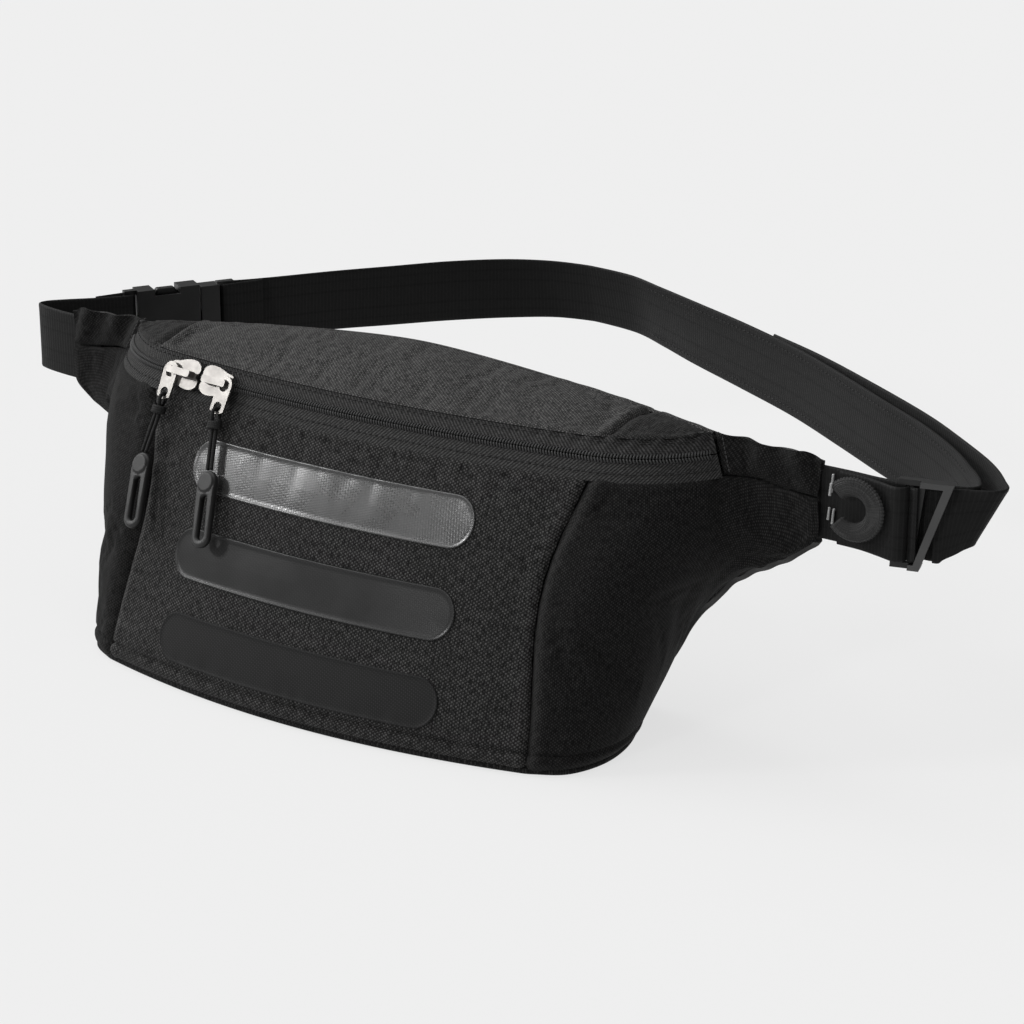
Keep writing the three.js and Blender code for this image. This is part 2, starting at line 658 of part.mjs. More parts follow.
// Belt route in plan from the male half to the middle of the back, with how far the bottom edge
// stands towards the bag from the top edge.
const LEFT_ROUTE = [
  [-165, 147.5, -3],
  [-147, 173, -4],
  [-128, 197, -3],
  [-108, 222, -2],
  [-85, 242, -3],
  [-64, 251.5, -6],
  [-45.6, 254, -7],
];
const RIGHT_ROUTE = [
  [-44.4, 254, -7],
  [-18, 250, -6],
  [6, 239, -4],
  [32, 226.5, -1],
  [75, 205, 2],
  [116, 181.5, 3],
  [155, 154.5, 3.5],
  [183, 134, 3.5],
  [212, 113, 3.5],
  [238, 89.6, 4],
  [250, 76.2, 6],
  [257.7, 67.4, 9],
  [262.9, 60, 12],
];
// The free tail stands off the belt outside it.
const TAIL_ROUTE = [
  [93, 198, 3],
  [125, 181, 3],
  [163, 157, 3.5],
  [208, 126, 3.5],
  [231, 107, 4],
  [255, 85.5, 9],
  [264, 75.5, 12],
  [271, 66, 15],
];

// Top and bottom edge points of a route, each lean taken square to the route.
function leaning(route) {
  const top = route.map(([x, y]) => [x, y, WEB_TOP]);
  const bottom = route.map(([x, y, lean], i) => {
    const a = route[Math.max(0, i - 1)];
    const b = route[Math.min(route.length - 1, i + 1)];
    const run = Math.hypot(b[0] - a[0], b[1] - a[1]);
    const drop = Math.sqrt(WEB_WIDTH ** 2 - lean ** 2);
    return [x + (lean * (b[1] - a[1])) / run, y - (lean * (b[0] - a[0])) / run, WEB_TOP - drop];
  });
  return { top, bottom };
}

function webbing() {
  const half = WEB / 2;
  // Left: sewn into the wing, folded back, and looped round the buckle's bar.
  const left = [
    [-186, 42.8], [-201, 43], [-214, 44.4], [-225, 46.8], [-230, 49.4], [-229.4, 53], [-224, 59.4],
    alongBuckle(-16, 0.6), alongBuckle(-6, 2.2),
    ...turn([BUCKLE.x, BUCKLE.y], 2.9, buckleDegrees - 90, buckleDegrees + 90, 6),
    alongBuckle(-6, -2.4), alongBuckle(-15, -1.6),
  ];
  piece("wing_webbing_left", sheet(uprightBand(left), -half, half, 56, 1), "webbing");
  // Right: sewn into the wing and looped round the adjuster's fixed bar.
  const fixed = [ADJUSTER.x, ADJUSTER.y];
  const right = [
    [186, 42.8], [201, 43], [214, 42.6], [226, 41.6],
    ...turn(fixed, 3.2, 100, -86, 7),
    [230, 36.8], [221, 39.2], [210, 40.2],
  ];
  piece("wing_webbing_right", sheet(uprightBand(right), -half, half, 48, 1), "webbing");

  // Belt, left half: looped round the bar of the buckle's male half.
  const start = upright([
    alongBuckle(MALE_BAR + 16, 2.1), alongBuckle(MALE_BAR + 7, 2.5),
    ...turn(alongBuckle(MALE_BAR, 0), 2.9, buckleDegrees - 90, buckleDegrees - 270, 6),
    alongBuckle(MALE_BAR + 7, -1.2),
  ]);
  const rest = leaning(LEFT_ROUTE);
  const leftBelt = band([...start.top, ...rest.top], [...start.bottom, ...rest.bottom]);
  piece("belt_left", sheet(leftBelt, -half, half, 64, 1), "webbing");

  // Belt, right half: round the end fold, behind the outer bar and round the middle bar.
  const back = leaning(RIGHT_ROUTE);
  const fold = {
    top: [[265.2, 54, WEB_TOP], [262.5, 50.6, WEB_TOP], [257.5, 48.6, WEB_TOP]],
    bottom: [[256.5, 48.2, 101.5], [254.5, 46.8, 100], [252.8, 46.4, 97.8]],
  };
  const inside = upright([
    onAdjuster(14.6, 2.9), onAdjuster(10.6, 2.9),
    ...turn(onAdjuster(MIDDLE_BAR, 0.6), 2.3, 14 + 80, 14 + 280, 7),
  ]);
  const rightBelt = band(
    [...back.top, ...fold.top, ...inside.top],
    [...back.bottom, ...fold.bottom, ...inside.bottom],
  );
  piece("belt_right", sheet(rightBelt, -half, half, 90, 1), "webbing");
  // The free tail runs outside the belt, from behind the outer bar round its own wider fold.
  const outside = leaning(TAIL_ROUTE);
  const wideFold = {
    top: [[275.3, 59.8, WEB_TOP], [276, 56.4, WEB_TOP], [273, 52, WEB_TOP], [267, 49, WEB_TOP],
      [258.6, 45.4, WEB_TOP]],
    bottom: [[264.4, 51.4, 103], [266, 48.2, 104.2], [264.5, 45.4, 103.4], [261, 44.2, 100.8],
      [256, 43, 97.6]],
  };
  const end = upright([onAdjuster(17, 0.6), onAdjuster(14.4, 0.3)]);
  const tail = band(
    [...outside.top, ...wideFold.top, ...end.top],
    [...outside.bottom, ...wideFold.bottom, ...end.bottom],
  );
  piece("belt_tail", sheet(tail, -half, half, 64, 1), "webbing");
}

// ---------------------------------------------------------------- buckle and adjuster
// Both are drawn with x along the belt, y across its thickness and z across its width.
const BUCKLE_HALF = 19; // half the buckle's width

function buckle() {
  const h = BUCKLE_HALF;
  const female = block([4.6, -5, -h], [36, 5, h])
    .subtract(block([8.5, -3.2, -h + 3.4], [37, 3.2, h - 3.4]))
    .subtract(block([13, -6, h - 3.6], [26, 6, h + 1]))
    .subtract(block([13, -6, -h - 1], [26, 6, -h + 3.6]))
    .add(block([-1.6, -1.8, h - 2.4], [5, 1.8, h]))
    .add(block([-1.6, -1.8, -h], [5, 1.8, -h + 2.4]))
    .add(block([-1.6, -1.2, -h + 1], [1.6, 1.2, h - 1]));
  piece("buckle_female", geometryOf(female), "plastic", buckleFrame);
  const male = block([37, -4.2, -h + 1.5], [46.6, 4.2, h - 1.5])
    .add(block([20, -2.1, -3], [38, 2.1, 3]))
    .add(block([46, -1.9, h - 2.8], [MALE_BAR + 1.5, 1.9, h - 0.6]))
    .add(block([46, -1.9, -h + 0.6], [MALE_BAR + 1.5, 1.9, -h + 2.8]))
    .add(block([MALE_BAR - 1.5, -1.2, -h + 1], [MALE_BAR + 1.5, 1.2, h - 1]));
  piece("buckle_male", geometryOf(male), "plastic", buckleFrame);
  // A spring arm: a curved bar that ends in a press pad with a catch.
  for (const [name, side] of [["upper", 1], ["lower", -1]]) {
    const s = new THREE.Shape();
    s.moveTo(36.7, 10.2 * side);
    s.bezierCurveTo(31, 10.2 * side, 27.4, 11.4 * side, 24, 18.6 * side);
    s.lineTo(15, 18.6 * side);
    s.quadraticCurveTo(13.8, 15.4 * side, 15.4, 12 * side);
    s.bezierCurveTo(20, 10.6 * side, 26, 7.4 * side, 36.7, 7.4 * side);
    s.lineTo(36.7, 10.2 * side);
    const arm = plate(s, -2, 2, 6);
    const across = new THREE.Matrix4().makeRotationX(Math.PI / 2);
    piece(`buckle_arm_${name}`, geometryOf(arm), "plastic", buckleFrame.clone().multiply(across));
  }
}

function adjuster() {
  const h = BUCKLE_HALF;
  const rails = (z0, z1) =>
    block([-1.5, -1.3, z0], [9, 1.7, z1]).add(block([7, -3.7, z0], [16.2, 1.2, z1]));
  const made = rails(h - 2.4, h)
    .add(rails(-h, -h + 2.4))
    .add(block([-1.5, -1.3, -h + 1], [1.5, 1.3, h - 1]))
    .add(block([MIDDLE_BAR - 1.2, -0.2, -h + 1], [MIDDLE_BAR + 1.2, 1.4, h - 1]))
    .add(block([12.8, -3.7, -h + 1], [16.2, -1.5, h - 1]));
  piece("adjuster", geometryOf(made), "plastic", adjusterFrame);
}

// A ribbed ribbon loop, open towards the wing, that lies on the wing's webbing.
function ribbonLoop() {
  const inner = 6.2;
  const outer = 13;
  const open = THREE.MathUtils.degToRad(42);
  const surface = (u, v) => {
    const angle = mix(-Math.PI + open, Math.PI - open, u);
    const radius = mix(inner, outer, v);
    return vec(radius * Math.cos(angle), radius * Math.sin(angle), 0);
  };
  const ring = sheet(surface, 0, 1.2, 28, 1);
  const stand = new THREE.Matrix4()
    .makeRotationX(Math.PI / 2)
    .setPosition(220.5, 33.6, 115.4);
  piece("ribbon_loop", ring, "webbing", stand);
}

bodyPanels();
lining();
frontPatches();
zip();
sliders();
webbing();
buckle();
adjuster();
ribbonLoop();

export default group;
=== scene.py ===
import math

import bpy
import numpy as np
from mathutils import Matrix, Vector


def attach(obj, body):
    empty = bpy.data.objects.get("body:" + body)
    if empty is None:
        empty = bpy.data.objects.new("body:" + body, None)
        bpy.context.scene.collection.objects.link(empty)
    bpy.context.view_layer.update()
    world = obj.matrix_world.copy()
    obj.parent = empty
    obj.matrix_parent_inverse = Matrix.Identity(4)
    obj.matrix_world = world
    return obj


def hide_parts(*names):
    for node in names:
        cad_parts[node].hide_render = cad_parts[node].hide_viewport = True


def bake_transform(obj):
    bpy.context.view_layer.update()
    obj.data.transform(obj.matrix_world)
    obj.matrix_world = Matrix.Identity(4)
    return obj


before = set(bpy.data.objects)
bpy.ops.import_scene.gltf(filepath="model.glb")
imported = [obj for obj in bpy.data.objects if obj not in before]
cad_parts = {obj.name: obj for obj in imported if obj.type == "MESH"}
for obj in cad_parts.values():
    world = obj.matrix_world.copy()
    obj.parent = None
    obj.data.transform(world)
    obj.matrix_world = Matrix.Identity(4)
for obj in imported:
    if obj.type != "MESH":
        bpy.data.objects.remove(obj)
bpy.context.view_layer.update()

# Lengths are millimetres until a mesh is made. +X is the viewer's right, +Y points back, +Z is up.
MM = 0.001

# ---------------------------------------------------------------- driving dimensions of the frame
GAP = 0.4
SKIN = 1.4
WEB = 1.4
WEB_WIDTH = 32.0
WEB_TOP = 128.0
WEB_MID = WEB_TOP - WEB_WIDTH / 2
STRAP_ROWS = 17
BASE_T = 2.6
WALL_Z = BASE_T + 1.2
CORNER_X = 112.6
FRONT_Y = -60.0
FRONT_BOW = 850.0
FRONT_PUFF = 2.0
BACK_FRONT = 44.0
BACK_REAR = 48.0
WING_X = 200.5
WING_MID_Z = 113.6
WING_Y = 39.6
SIDE_Y = 41.2
ZIP_Z = 127.0
ZIP_Y = -8.0
ZIP_R = 667.0
ZIP_CORNER_R = 62.0
ZIP_STRAIGHT_X = 112
ZIP_BEND = math.asin(ZIP_STRAIGHT_X / ZIP_R)
ZIP_STOP = math.radians(62)
TAPE_LEAN = math.radians(27)
TAPE_HALF = 9.0
TOP_EDGE = TAPE_HALF - 1.2
LID_REAR_Y = 40.5
LID_LAP = 0.9
TOP_SEAM_X = 120.5
PATCH_MIDDLE = -3.0
PATCH_HALF = 75.0
PATCH_RADIUS = 10.6
PATCH_CENTRES = {"upper": 94.2, "middle": 57.7, "lower": 22.5}


def arr(*values):
    return np.array(values, float)


def mix(a, b, t):
    return a + (b - a) * t


def unit(v):
    length = np.linalg.norm(v, axis=-1, keepdims=True)
    return v / np.maximum(length, 1e-9)


def run_of(path):
    """Distance along a path at each of its points."""
    return np.concatenate([[0], np.cumsum(np.linalg.norm(np.diff(path, axis=0), axis=1))])


def settle(obj, body, node=None):
    """Attaches a piece to its body and hides the CAD node that it stands for."""
    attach(obj, body)
    if node:
        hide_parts(node)
    return obj


# ---------------------------------------------------------------- curves and surfaces
class Curve:
    """A centripetal Catmull-Rom curve through points, as the CAD source draws its own."""

    def __init__(self, points):
        self.points = np.array(points, float)

    def at(self, t):
        p = self.points
        last = len(p) - 1
        place = last * t
        i = min(int(place), last - 1)
        w = place - i
        p1 = p[i]
        p2 = p[i + 1]
        p0 = p[i - 1] if i > 0 else 2 * p[0] - p[1]
        p3 = p[i + 2] if i + 2 <= last else 2 * p[last] - p[last - 1]
        d0, d1, d2 = (math.sqrt(np.linalg.norm(b - a)) for a, b in ((p0, p1), (p1, p2), (p2, p3)))
        d1 = d1 if d1 > 1e-4 else 1.0
        d0 = d0 if d0 > 1e-4 else d1
        d2 = d2 if d2 > 1e-4 else d1
        t1 = ((p1 - p0) / d0 - (p2 - p0) / (d0 + d1) + (p2 - p1) / d1) * d1
        t2 = ((p2 - p1) / d1 - (p3 - p1) / (d1 + d2) + (p3 - p2) / d2) * d1
        c2 = 3 * (p2 - p1) - 2 * t1 - t2
        c3 = 2 * (p1 - p2) + t1 + t2
        return p1 + w * (t1 + w * (c2 + w * c3))

    def many(self, shares):
        return np.array([self.at(min(max(t, 0.0), 1.0)) for t in shares])


def zip_frame(t):
    """Chain centre at shares t of the half length, with the axes along, up the tape and out of it."""
    t = np.atleast_1d(np.asarray(t, float))
    side = np.where(t < 0, -1.0, 1.0)
    run = np.abs(t) * ZIP_RUN
    bend = run > FRONT_RUN
    heading = np.where(bend, ZIP_BEND + (run - FRONT_RUN) / ZIP_CORNER_R, run / ZIP_R)
    x = np.where(
        bend,
        ZIP_R * math.sin(ZIP_BEND) + ZIP_CORNER_R * (np.sin(heading) - math.sin(ZIP_BEND)),
        ZIP_R * np.sin(heading),
    )
    y = np.where(
        bend,
        ZIP_R * (1 - math.cos(ZIP_BEND)) + ZIP_CORNER_R * (math.cos(ZIP_BEND) - np.cos(heading)),
        ZIP_R * (1 - np.cos(heading)),
    )
    zero = np.zeros_like(x)
    at = np.stack([side * x, ZIP_Y + y, zero + ZIP_Z], -1)
    along = np.stack([np.cos(heading), side * np.sin(heading), zero], -1)
    level = np.stack([side * np.sin(heading), -np.cos(heading), zero], -1)
    up = arr(0, 0, math.cos(TAPE_LEAN)) - level * math.sin(TAPE_LEAN)
    return at, along, up, np.cross(along, up)


FRONT_RUN = ZIP_R * ZIP_BEND
ZIP_RUN = FRONT_RUN + ZIP_CORNER_R * (ZIP_STOP - ZIP_BEND)


def beside(t, up, out=0.0):
    """Points beside the chain: up the tape, and out of it."""
    at, _, up_axis, out_axis = zip_frame(t)
    up = np.atleast_1d(up)[:, None]
    out = np.atleast_1d(out)[:, None]
    return at + up_axis * up + out_axis * out


def share_at(x):
    """The zip's share at a distance x from the middle, taking the corner as straight."""
    near = ZIP_R * np.arcsin(np.minimum(x, ZIP_STRAIGHT_X) / ZIP_R)
    return (near + np.maximum(0, x - ZIP_STRAIGHT_X)) / ZIP_RUN


def seam_x(v):
    """Half width of the front at a share v of its height: the side seams pull in between."""
    pinch = np.maximum(0, np.sin(math.pi * np.clip(v, 0, 1) ** 1.35)) ** 1.2
    return mix(CORNER_X, 115.4, v) - 8.6 * pinch


def front_point(x, v):
    x, v = np.broadcast_arrays(np.asarray(x, float), np.asarray(v, float))
    top = beside((np.sign(x) * share_at(np.abs(x))).ravel(), -TAPE_HALF - GAP).reshape(x.shape + (3,))
    z = mix(WALL_Z, top[..., 2], v)
    y = mix(FRONT_Y + x * x / FRONT_BOW, top[..., 1], v)
    return np.stack([x, y - FRONT_PUFF * np.sin(math.pi * v), z], -1)


def coons(front, back, bottom, top):
    """A patch between four edges: front and back run up (v), bottom and top run across (u)."""
    u = np.linspace(0, 1, len(bottom))[:, None, None]
    v = np.linspace(0, 1, len(front))[None, :, None]
    ruled_u = mix(front[None], back[None], u)
    ruled_v = mix(bottom[:, None], top[:, None], v)
    corners = mix(mix(front[0], back[0], u), mix(front[-1], back[-1], u), v)
    return ruled_u + ruled_v - corners


def steps(count):
    return np.linspace(0, 1, count)


SIDE_FOOT = Curve([
    [CORNER_X + 0.6, FRONT_Y + CORNER_X ** 2 / FRONT_BOW, WALL_Z],
    [128, -36, WALL_Z],
    [135.5, -18, WALL_Z],
    [134, 6, WALL_Z],
    [125, 26, WALL_Z],
    [112.5, SIDE_Y, WALL_Z],
])
SIDE_BACK = Curve([
    [112.5, SIDE_Y, WALL_Z],
    [126.5, SIDE_Y, 22],
    [140.5, SIDE_Y, 45],
    [153, SIDE_Y, 62],
    [167, SIDE_Y, 74.5],
    [181, 40.6, 82],
    [194, WING_Y, 90.5],
    [WING_X, WING_Y, 97],
    [WING_X, WING_Y, WING_MID_Z],
])


def zip_then_wing():
    """A side panel's upper edge: round the zip's corner, then along the wing."""
    first = float(share_at(seam_x(1) + 0.6))
    points = [beside(mix(first, 1, i / 6), -TAPE_HALF - GAP)[0] for i in range(7)]
    points += [arr(172, 38.2, 117.5), arr(186, 39.4, 115), arr(WING_X, WING_Y, WING_MID_Z)]
    return Curve(points)


SIDE_TOP = zip_then_wing()


def front_grid(nu, nv):
    u = np.linspace(-1, 1, nu)[:, None]
    v = steps(nv)[None, :]
    return front_point(u * seam_x(v), v)


def side_grid(nu, nv):
    v = steps(nv)
    return coons(
        front_point(seam_x(v), v) + arr(0.6, 0, 0),
        SIDE_BACK.many(v),
        SIDE_FOOT.many(steps(nu)),
        SIDE_TOP.many(steps(nu)),
    )


def rear_z(x):
    """Height of the lid's rear edge."""
    return 149 - 0.062 * (np.hypot(x, 20) - 20) - 0.0003 * x * x


def top_grid(nu, nv):
    x = np.linspace(-TOP_SEAM_X, TOP_SEAM_X, nu)
    front = beside(np.sign(x) * share_at(np.abs(x)), TOP_EDGE)
    rear = np.stack([x, np.full_like(x, LID_REAR_Y), rear_z(x)], -1)
    v = steps(nv)[None, :, None]
    return mix(front[:, None], rear[:, None], v) + arr(0, 0, 2) * np.sin(math.pi * v)


def top_end_grid(nu, nv):
    first = TOP_SEAM_X + GAP
    start = float(share_at(first + 2.2))
    edge = beside(mix(start, 0.99, steps(nu)), TOP_EDGE)
    seam = Curve([edge[0], [first, 17, 138], [first, LID_REAR_Y, rear_z(first)]])
    tip = edge[-1]
    rear = Curve([
        [first, LID_REAR_Y, rear_z(first)],
        [138, LID_REAR_Y, rear_z(138)],
        [tip[0] + 0.2, LID_REAR_Y, tip[2] - 1.8],
    ])
    corner = rear.at(1)
    return coons(
        seam.many(steps(nv)),
        mix(tip, corner, steps(nv)[:, None]),
        edge,
        rear.many(steps(nu)),
    )


def wing_top_grid(nu, nv):
    at, along, up, _ = (a[0] for a in zip_frame(1))
    foot = at + along * 1.2 - up * TAPE_HALF
    head = at + along * 1.2 + up * TAPE_HALF
    low = Curve([foot, [172, 38.2, 118.1], [186, 39.4, 115.6], [WING_X, WING_Y, WING_MID_Z + 0.6]])
    high = Curve([head, [166, 39.8, 133.4], [184, WING_Y, 132.4], [195, WING_Y, 133.2],
                  [WING_X + 0.5, WING_Y, WEB_TOP + 2]])
    return coons(
        mix(foot, head, steps(nv)[:, None]),
        mix(low.at(1), high.at(1), steps(nv)[:, None]),
        low.many(steps(nu)),
        high.many(steps(nu)),
    )


def back_low(x):
    """Height of the back panel's lower edge, which rises under the wings."""
    line = SIDE_BACK.many(steps(60))
    return np.where(np.abs(x) <= line[0, 0], 0.6, np.interp(np.abs(x), line[:-6, 0], line[:-6, 2] - 3.2))


def back_high(x):
    """Height of the back panel's upper edge."""
    x = np.abs(x)
    crest = 145.5 - 15 * (x / 160) ** 2
    return np.where(x <= 160, crest, np.interp(x, [160, 176, 193, WING_X], [130.5, 131, 131, 129]))


def back_grid(nu, nv):
    x = np.linspace(WING_X, -WING_X, nu)
    z = mix(back_low(x)[:, None], back_high(x)[:, None], steps(nv)[None])
    return np.stack([np.broadcast_to(x[:, None], z.shape), np.full_like(z, BACK_REAR - 1.2), z], -1)


def mirrored(grid):
    return grid * arr(-1, 1, 1)


# ---------------------------------------------------------------- grids of points
def normals_of(grid):
    du = np.gradient(grid, axis=0)
    dv = np.gradient(grid, axis=1)
    return unit(np.cross(du, dv))


def lengths(grid, axis):
    """Distance along the grid lines of one axis, from their start."""
    step = np.linalg.norm(np.diff(grid, axis=axis), axis=-1)
    pad = [(1, 0), (0, 0)] if axis == 0 else [(0, 0), (1, 0)]
    return np.cumsum(np.pad(step, pad), axis=axis)


class Edges:
    """Distances of each grid point from the four edges, in mm."""

    def __init__(self, grid):
        across = lengths(grid, 0)
        up = lengths(grid, 1)
        self.left = across
        self.right = across[-1:] - across
        self.low = up
        self.high = up[:, -1:] - up
        self.nearest = np.minimum.reduce([self.left, self.right, self.low, self.high])


def dip(d, width):
    return np.exp(-d / width)


def hump(d, centre, width):
    return np.exp(-(((d - centre) / width) ** 2))


def waves(grid, size, seed):
    """Slow smooth unevenness of about -1 to 1, from sines in seeded directions."""
    count = 7
    rng = np.random.default_rng(seed)
    total = np.zeros(grid.shape[:2])
    for _ in range(count):
        direction = unit(rng.normal(size=3))
        wave = 2 * math.pi / (size * rng.uniform(0.7, 1.6))
        total += np.sin((grid @ direction) * wave + rng.uniform(0, 6.28))
    return total / math.sqrt(count)


def spline_rows(count, coarse):
    """The matrix that turns evenly spaced coarse values into count finer ones, smoothly."""
    rows = np.zeros((count, coarse))
    for r, share in enumerate(steps(count)):
        place = share * (coarse - 1)
        i = min(int(place), coarse - 2)
        f = place - i
        weights = (
            -0.5 * f + f * f - 0.5 * f ** 3,
            1 - 2.5 * f * f + 1.5 * f ** 3,
            0.5 * f + 2 * f * f - 1.5 * f ** 3,
            -0.5 * f * f + 0.5 * f ** 3,
        )
        for k, w in enumerate(weights):
            rows[r, min(max(i - 1 + k, 0), coarse - 1)] += w
    return rows


def refine(field, nu, nv):
    """A coarse field of values on a finer grid."""
    across = spline_rows(nu, field.shape[0])
    up = spline_rows(nv, field.shape[1])
    return np.einsum("ia,abk,jb->ijk", across, field, up)


# ---------------------------------------------------------------- meshes
def link(obj):
    bpy.context.scene.collection.objects.link(obj)
    return obj


def mesh_object(name, points, faces, materials, face_slots=None, sharp=None):
    """A mesh from points in mm. sharp is the angle over which an edge is drawn hard."""
    data = bpy.data.meshes.new(name)
    data.from_pydata((np.asarray(points) * MM).tolist(), [], [list(f) for f in faces])
    for material in materials:
        data.materials.append(material)
    if face_slots is not None:
        data.polygons.foreach_set("material_index", np.asarray(face_slots, np.int32))
    data.shade_smooth()
    if sharp:
        data.set_sharp_from_angle(angle=math.radians(sharp))
    data.update()
    return link(bpy.data.objects.new(name, data))


def set_cloth(obj, coordinates):
    """Stores where each point lies on its flat cloth, in mm, for the weave."""
    attribute = obj.data.attributes.new("cloth", "FLOAT_VECTOR", "POINT")
    attribute.data.foreach_set("vector", np.asarray(coordinates, np.float32).ravel())


def grid_faces(nu, nv, start=0):
    i, j = np.meshgrid(np.arange(nu - 1), np.arange(nv - 1), indexing="ij")
    a = (start + i * nv + j).ravel()
    return np.stack([a, a + nv, a + nv + 1, a + 1], -1)


def ring_faces(rings, around, start=0, flip=False):
    """Faces between neighbouring closed rings of points. flip turns them inside out."""
    faces = []
    for i in range(rings - 1):
        for k in range(around):
            a = start + i * around + k
            b = start + i * around + (k + 1) % around
            faces.append([a, a + around, b + around, b] if flip else [a, b, b + around, a + around])
    return faces


def rim_of(nu, nv):
    """Point indices round a grid, anticlockwise in (u, v)."""
    low = [i * nv for i in range(nu)]
    right = [(nu - 1) * nv + j for j in range(1, nv)]
    high = [i * nv + nv - 1 for i in range(nu - 2, -1, -1)]
    left = [j for j in range(nv - 2, 0, -1)]
    return low + right + high + left


def panel(name, grid, thickness, outside, inside, flip=False, grain=(1.0, 1.0), wear_and_painted_highlight=None):
    """A closed sheet: its face is the grid, and its back lies inwards by the thickness."""
    nu, nv = grid.shape[:2]
    out = normals_of(grid) * (-1 if flip else 1)
    back = grid - out * thickness
    points = np.concatenate([grid.reshape(-1, 3), back.reshape(-1, 3)])
    shift = nu * nv
    front = grid_faces(nu, nv)
    rear = grid_faces(nu, nv, shift)[:, ::-1]
    rim = np.array(rim_of(nu, nv))
    ahead = np.roll(rim, -1)
    walls = np.stack([rim, rim + shift, ahead + shift, ahead], -1)
    faces = np.concatenate([front, rear, walls])
    if flip:
        faces = faces[:, ::-1]
    slots = [0] * len(front) + [1] * len(rear) + [0] * len(walls)
    obj = mesh_object(name, points, faces, [outside, inside], slots, sharp=70)
    across = lengths(grid, 0)
    up = lengths(grid, 1)
    flat = np.stack([(across - across[nu // 2]) * grain[0], up * grain[1], np.zeros_like(up)], -1)
    set_cloth(obj, np.concatenate([flat.reshape(-1, 3)] * 2))
    # The extra attribute holds a painted highlight along rolled seam edges, on both faces.
    if wear_and_painted_highlight is not None:
        attribute = obj.data.attributes.new("wear_and_painted_highlight", "FLOAT", "POINT")
        attribute.data.foreach_set("value", np.tile(wear_and_painted_highlight.ravel(), 2).astype(np.float32))
    return obj


def tube(name, path, radius, material, around=10):
    """A round cord along a path of points in mm."""
    path = np.asarray(path, float)
    tangent = unit(np.gradient(path, axis=0))
    side = unit(np.cross(tangent[0], arr(0.13, 0.31, 0.94)))
    points = []
    for p, t in zip(path, tangent):
        side = unit(side - t * (side @ t))
        other = np.cross(t, side)
        for k in range(around):
            a = 2 * math.pi * k / around
            points.append(p + radius * (side * math.cos(a) + other * math.sin(a)))
    faces = ring_faces(len(path), around)
    faces.append(list(range(around))[::-1])
    faces.append([(len(path) - 1) * around + k for k in range(around)])
    obj = mesh_object(name, points, faces, [material])
    flat = [(run, k * 2 * math.pi * radius / around, 0) for run in run_of(path) for k in range(around)]
    set_cloth(obj, flat)
    return obj


# Stations of a stitch along its length: place, thickness and height, as shares.
STITCH = ((-1, 0.45, -0.25), (-0.6, 1, 0.7), (0, 1.05, 1), (0.6, 1, 0.7), (1, 0.45, -0.25))
STITCH_CORNERS = 6


def between(places, run, values):
    """Values along a run, read off at one or more places."""
    return np.stack([np.interp(places, run, values[:, k]) for k in range(3)], -1)


def stitches(name, path, out, material, pitch=3.1, length=2.1, width=0.55, rise=0.18):
    """A row of thread stitches along a path, each a small rounded bar on the surface."""
    path = np.asarray(path, float)
    out = unit(np.asarray(out, float))
    run = run_of(path)
    corners = range(STITCH_CORNERS)
    points = []
    faces = []
    place = pitch * 0.6
    while place < run[-1] - pitch * 0.4:
        first, last = between([place - length / 2, place + length / 2], run, path)
        normal = unit(between(place, run, out))
        along = unit(last - first)
        across = np.cross(normal, along)
        middle = (first + last) / 2
        base = len(points)
        for s, w, h in STITCH:
            for corner in corners:
                angle = 2 * math.pi * corner / STITCH_CORNERS
                points.append(
                    middle
                    + along * s * length / 2
                    + across * math.cos(angle) * w * width / 2
                    + normal * (h * rise + math.sin(angle) * w * width / 2)
                )
        faces += ring_faces(len(STITCH), STITCH_CORNERS, base)
        faces.append([base + corner for corner in corners][::-1])
        faces.append([len(points) - STITCH_CORNERS + corner for corner in corners])
        place += pitch
    obj = mesh_object(name, points, faces, [material])
    set_cloth(obj, points)
    return obj


def strap(name, top, bottom):
    """Webbing between the curves of its two edges, with rounded selvedges."""
    top = np.asarray(top, float)
    bottom = np.asarray(bottom, float)
    count = len(top)
    middle = (top + bottom) / 2
    along = unit(np.gradient(middle, axis=0))
    down = unit(bottom - top)
    out = unit(np.cross(along, down))
    width = np.linalg.norm(bottom - top, axis=1)
    run = run_of(middle)
    profile = []
    share = (1 - np.cos(np.linspace(0, math.pi, STRAP_ROWS))) / 2
    half = WEB / 2
    for w in share:
        edge = min(w, 1 - w) * WEB_WIDTH
        body = half * math.sqrt(max(0, 1 - max(0, 1 - edge / half) ** 2))
        selvedge = 0.12 * math.exp(-(((edge - 1.6) / 1.0) ** 2))
        profile.append((w, body + selvedge))
    loop = profile + [(w, -h) for w, h in profile[-2:0:-1]]
    points = []
    flat = []
    for i in range(count):
        for w, h in loop:
            points.append(top[i] + down[i] * width[i] * w + out[i] * h)
            flat.append((run[i], (w - 0.5) * WEB_WIDTH, 0))
    n = len(loop)
    faces = ring_faces(count, n, flip=True)
    faces.append(list(range(n)))
    faces.append([(count - 1) * n + k for k in range(n - 1, -1, -1)])
    obj = mesh_object(name, points, faces, [WEBBING], sharp=80)
    set_cloth(obj, flat)
    return obj


def along_strap(top, bottom, w, side):
    """Points on a strap's face at a share w of its width, and the way out there."""
    top = np.asarray(top, float)
    bottom = np.asarray(bottom, float)
    middle = (top + bottom) / 2
    out = unit(np.cross(unit(np.gradient(middle, axis=0)), unit(bottom - top))) * side
    return mix(top, bottom, w) + out * WEB / 2, out


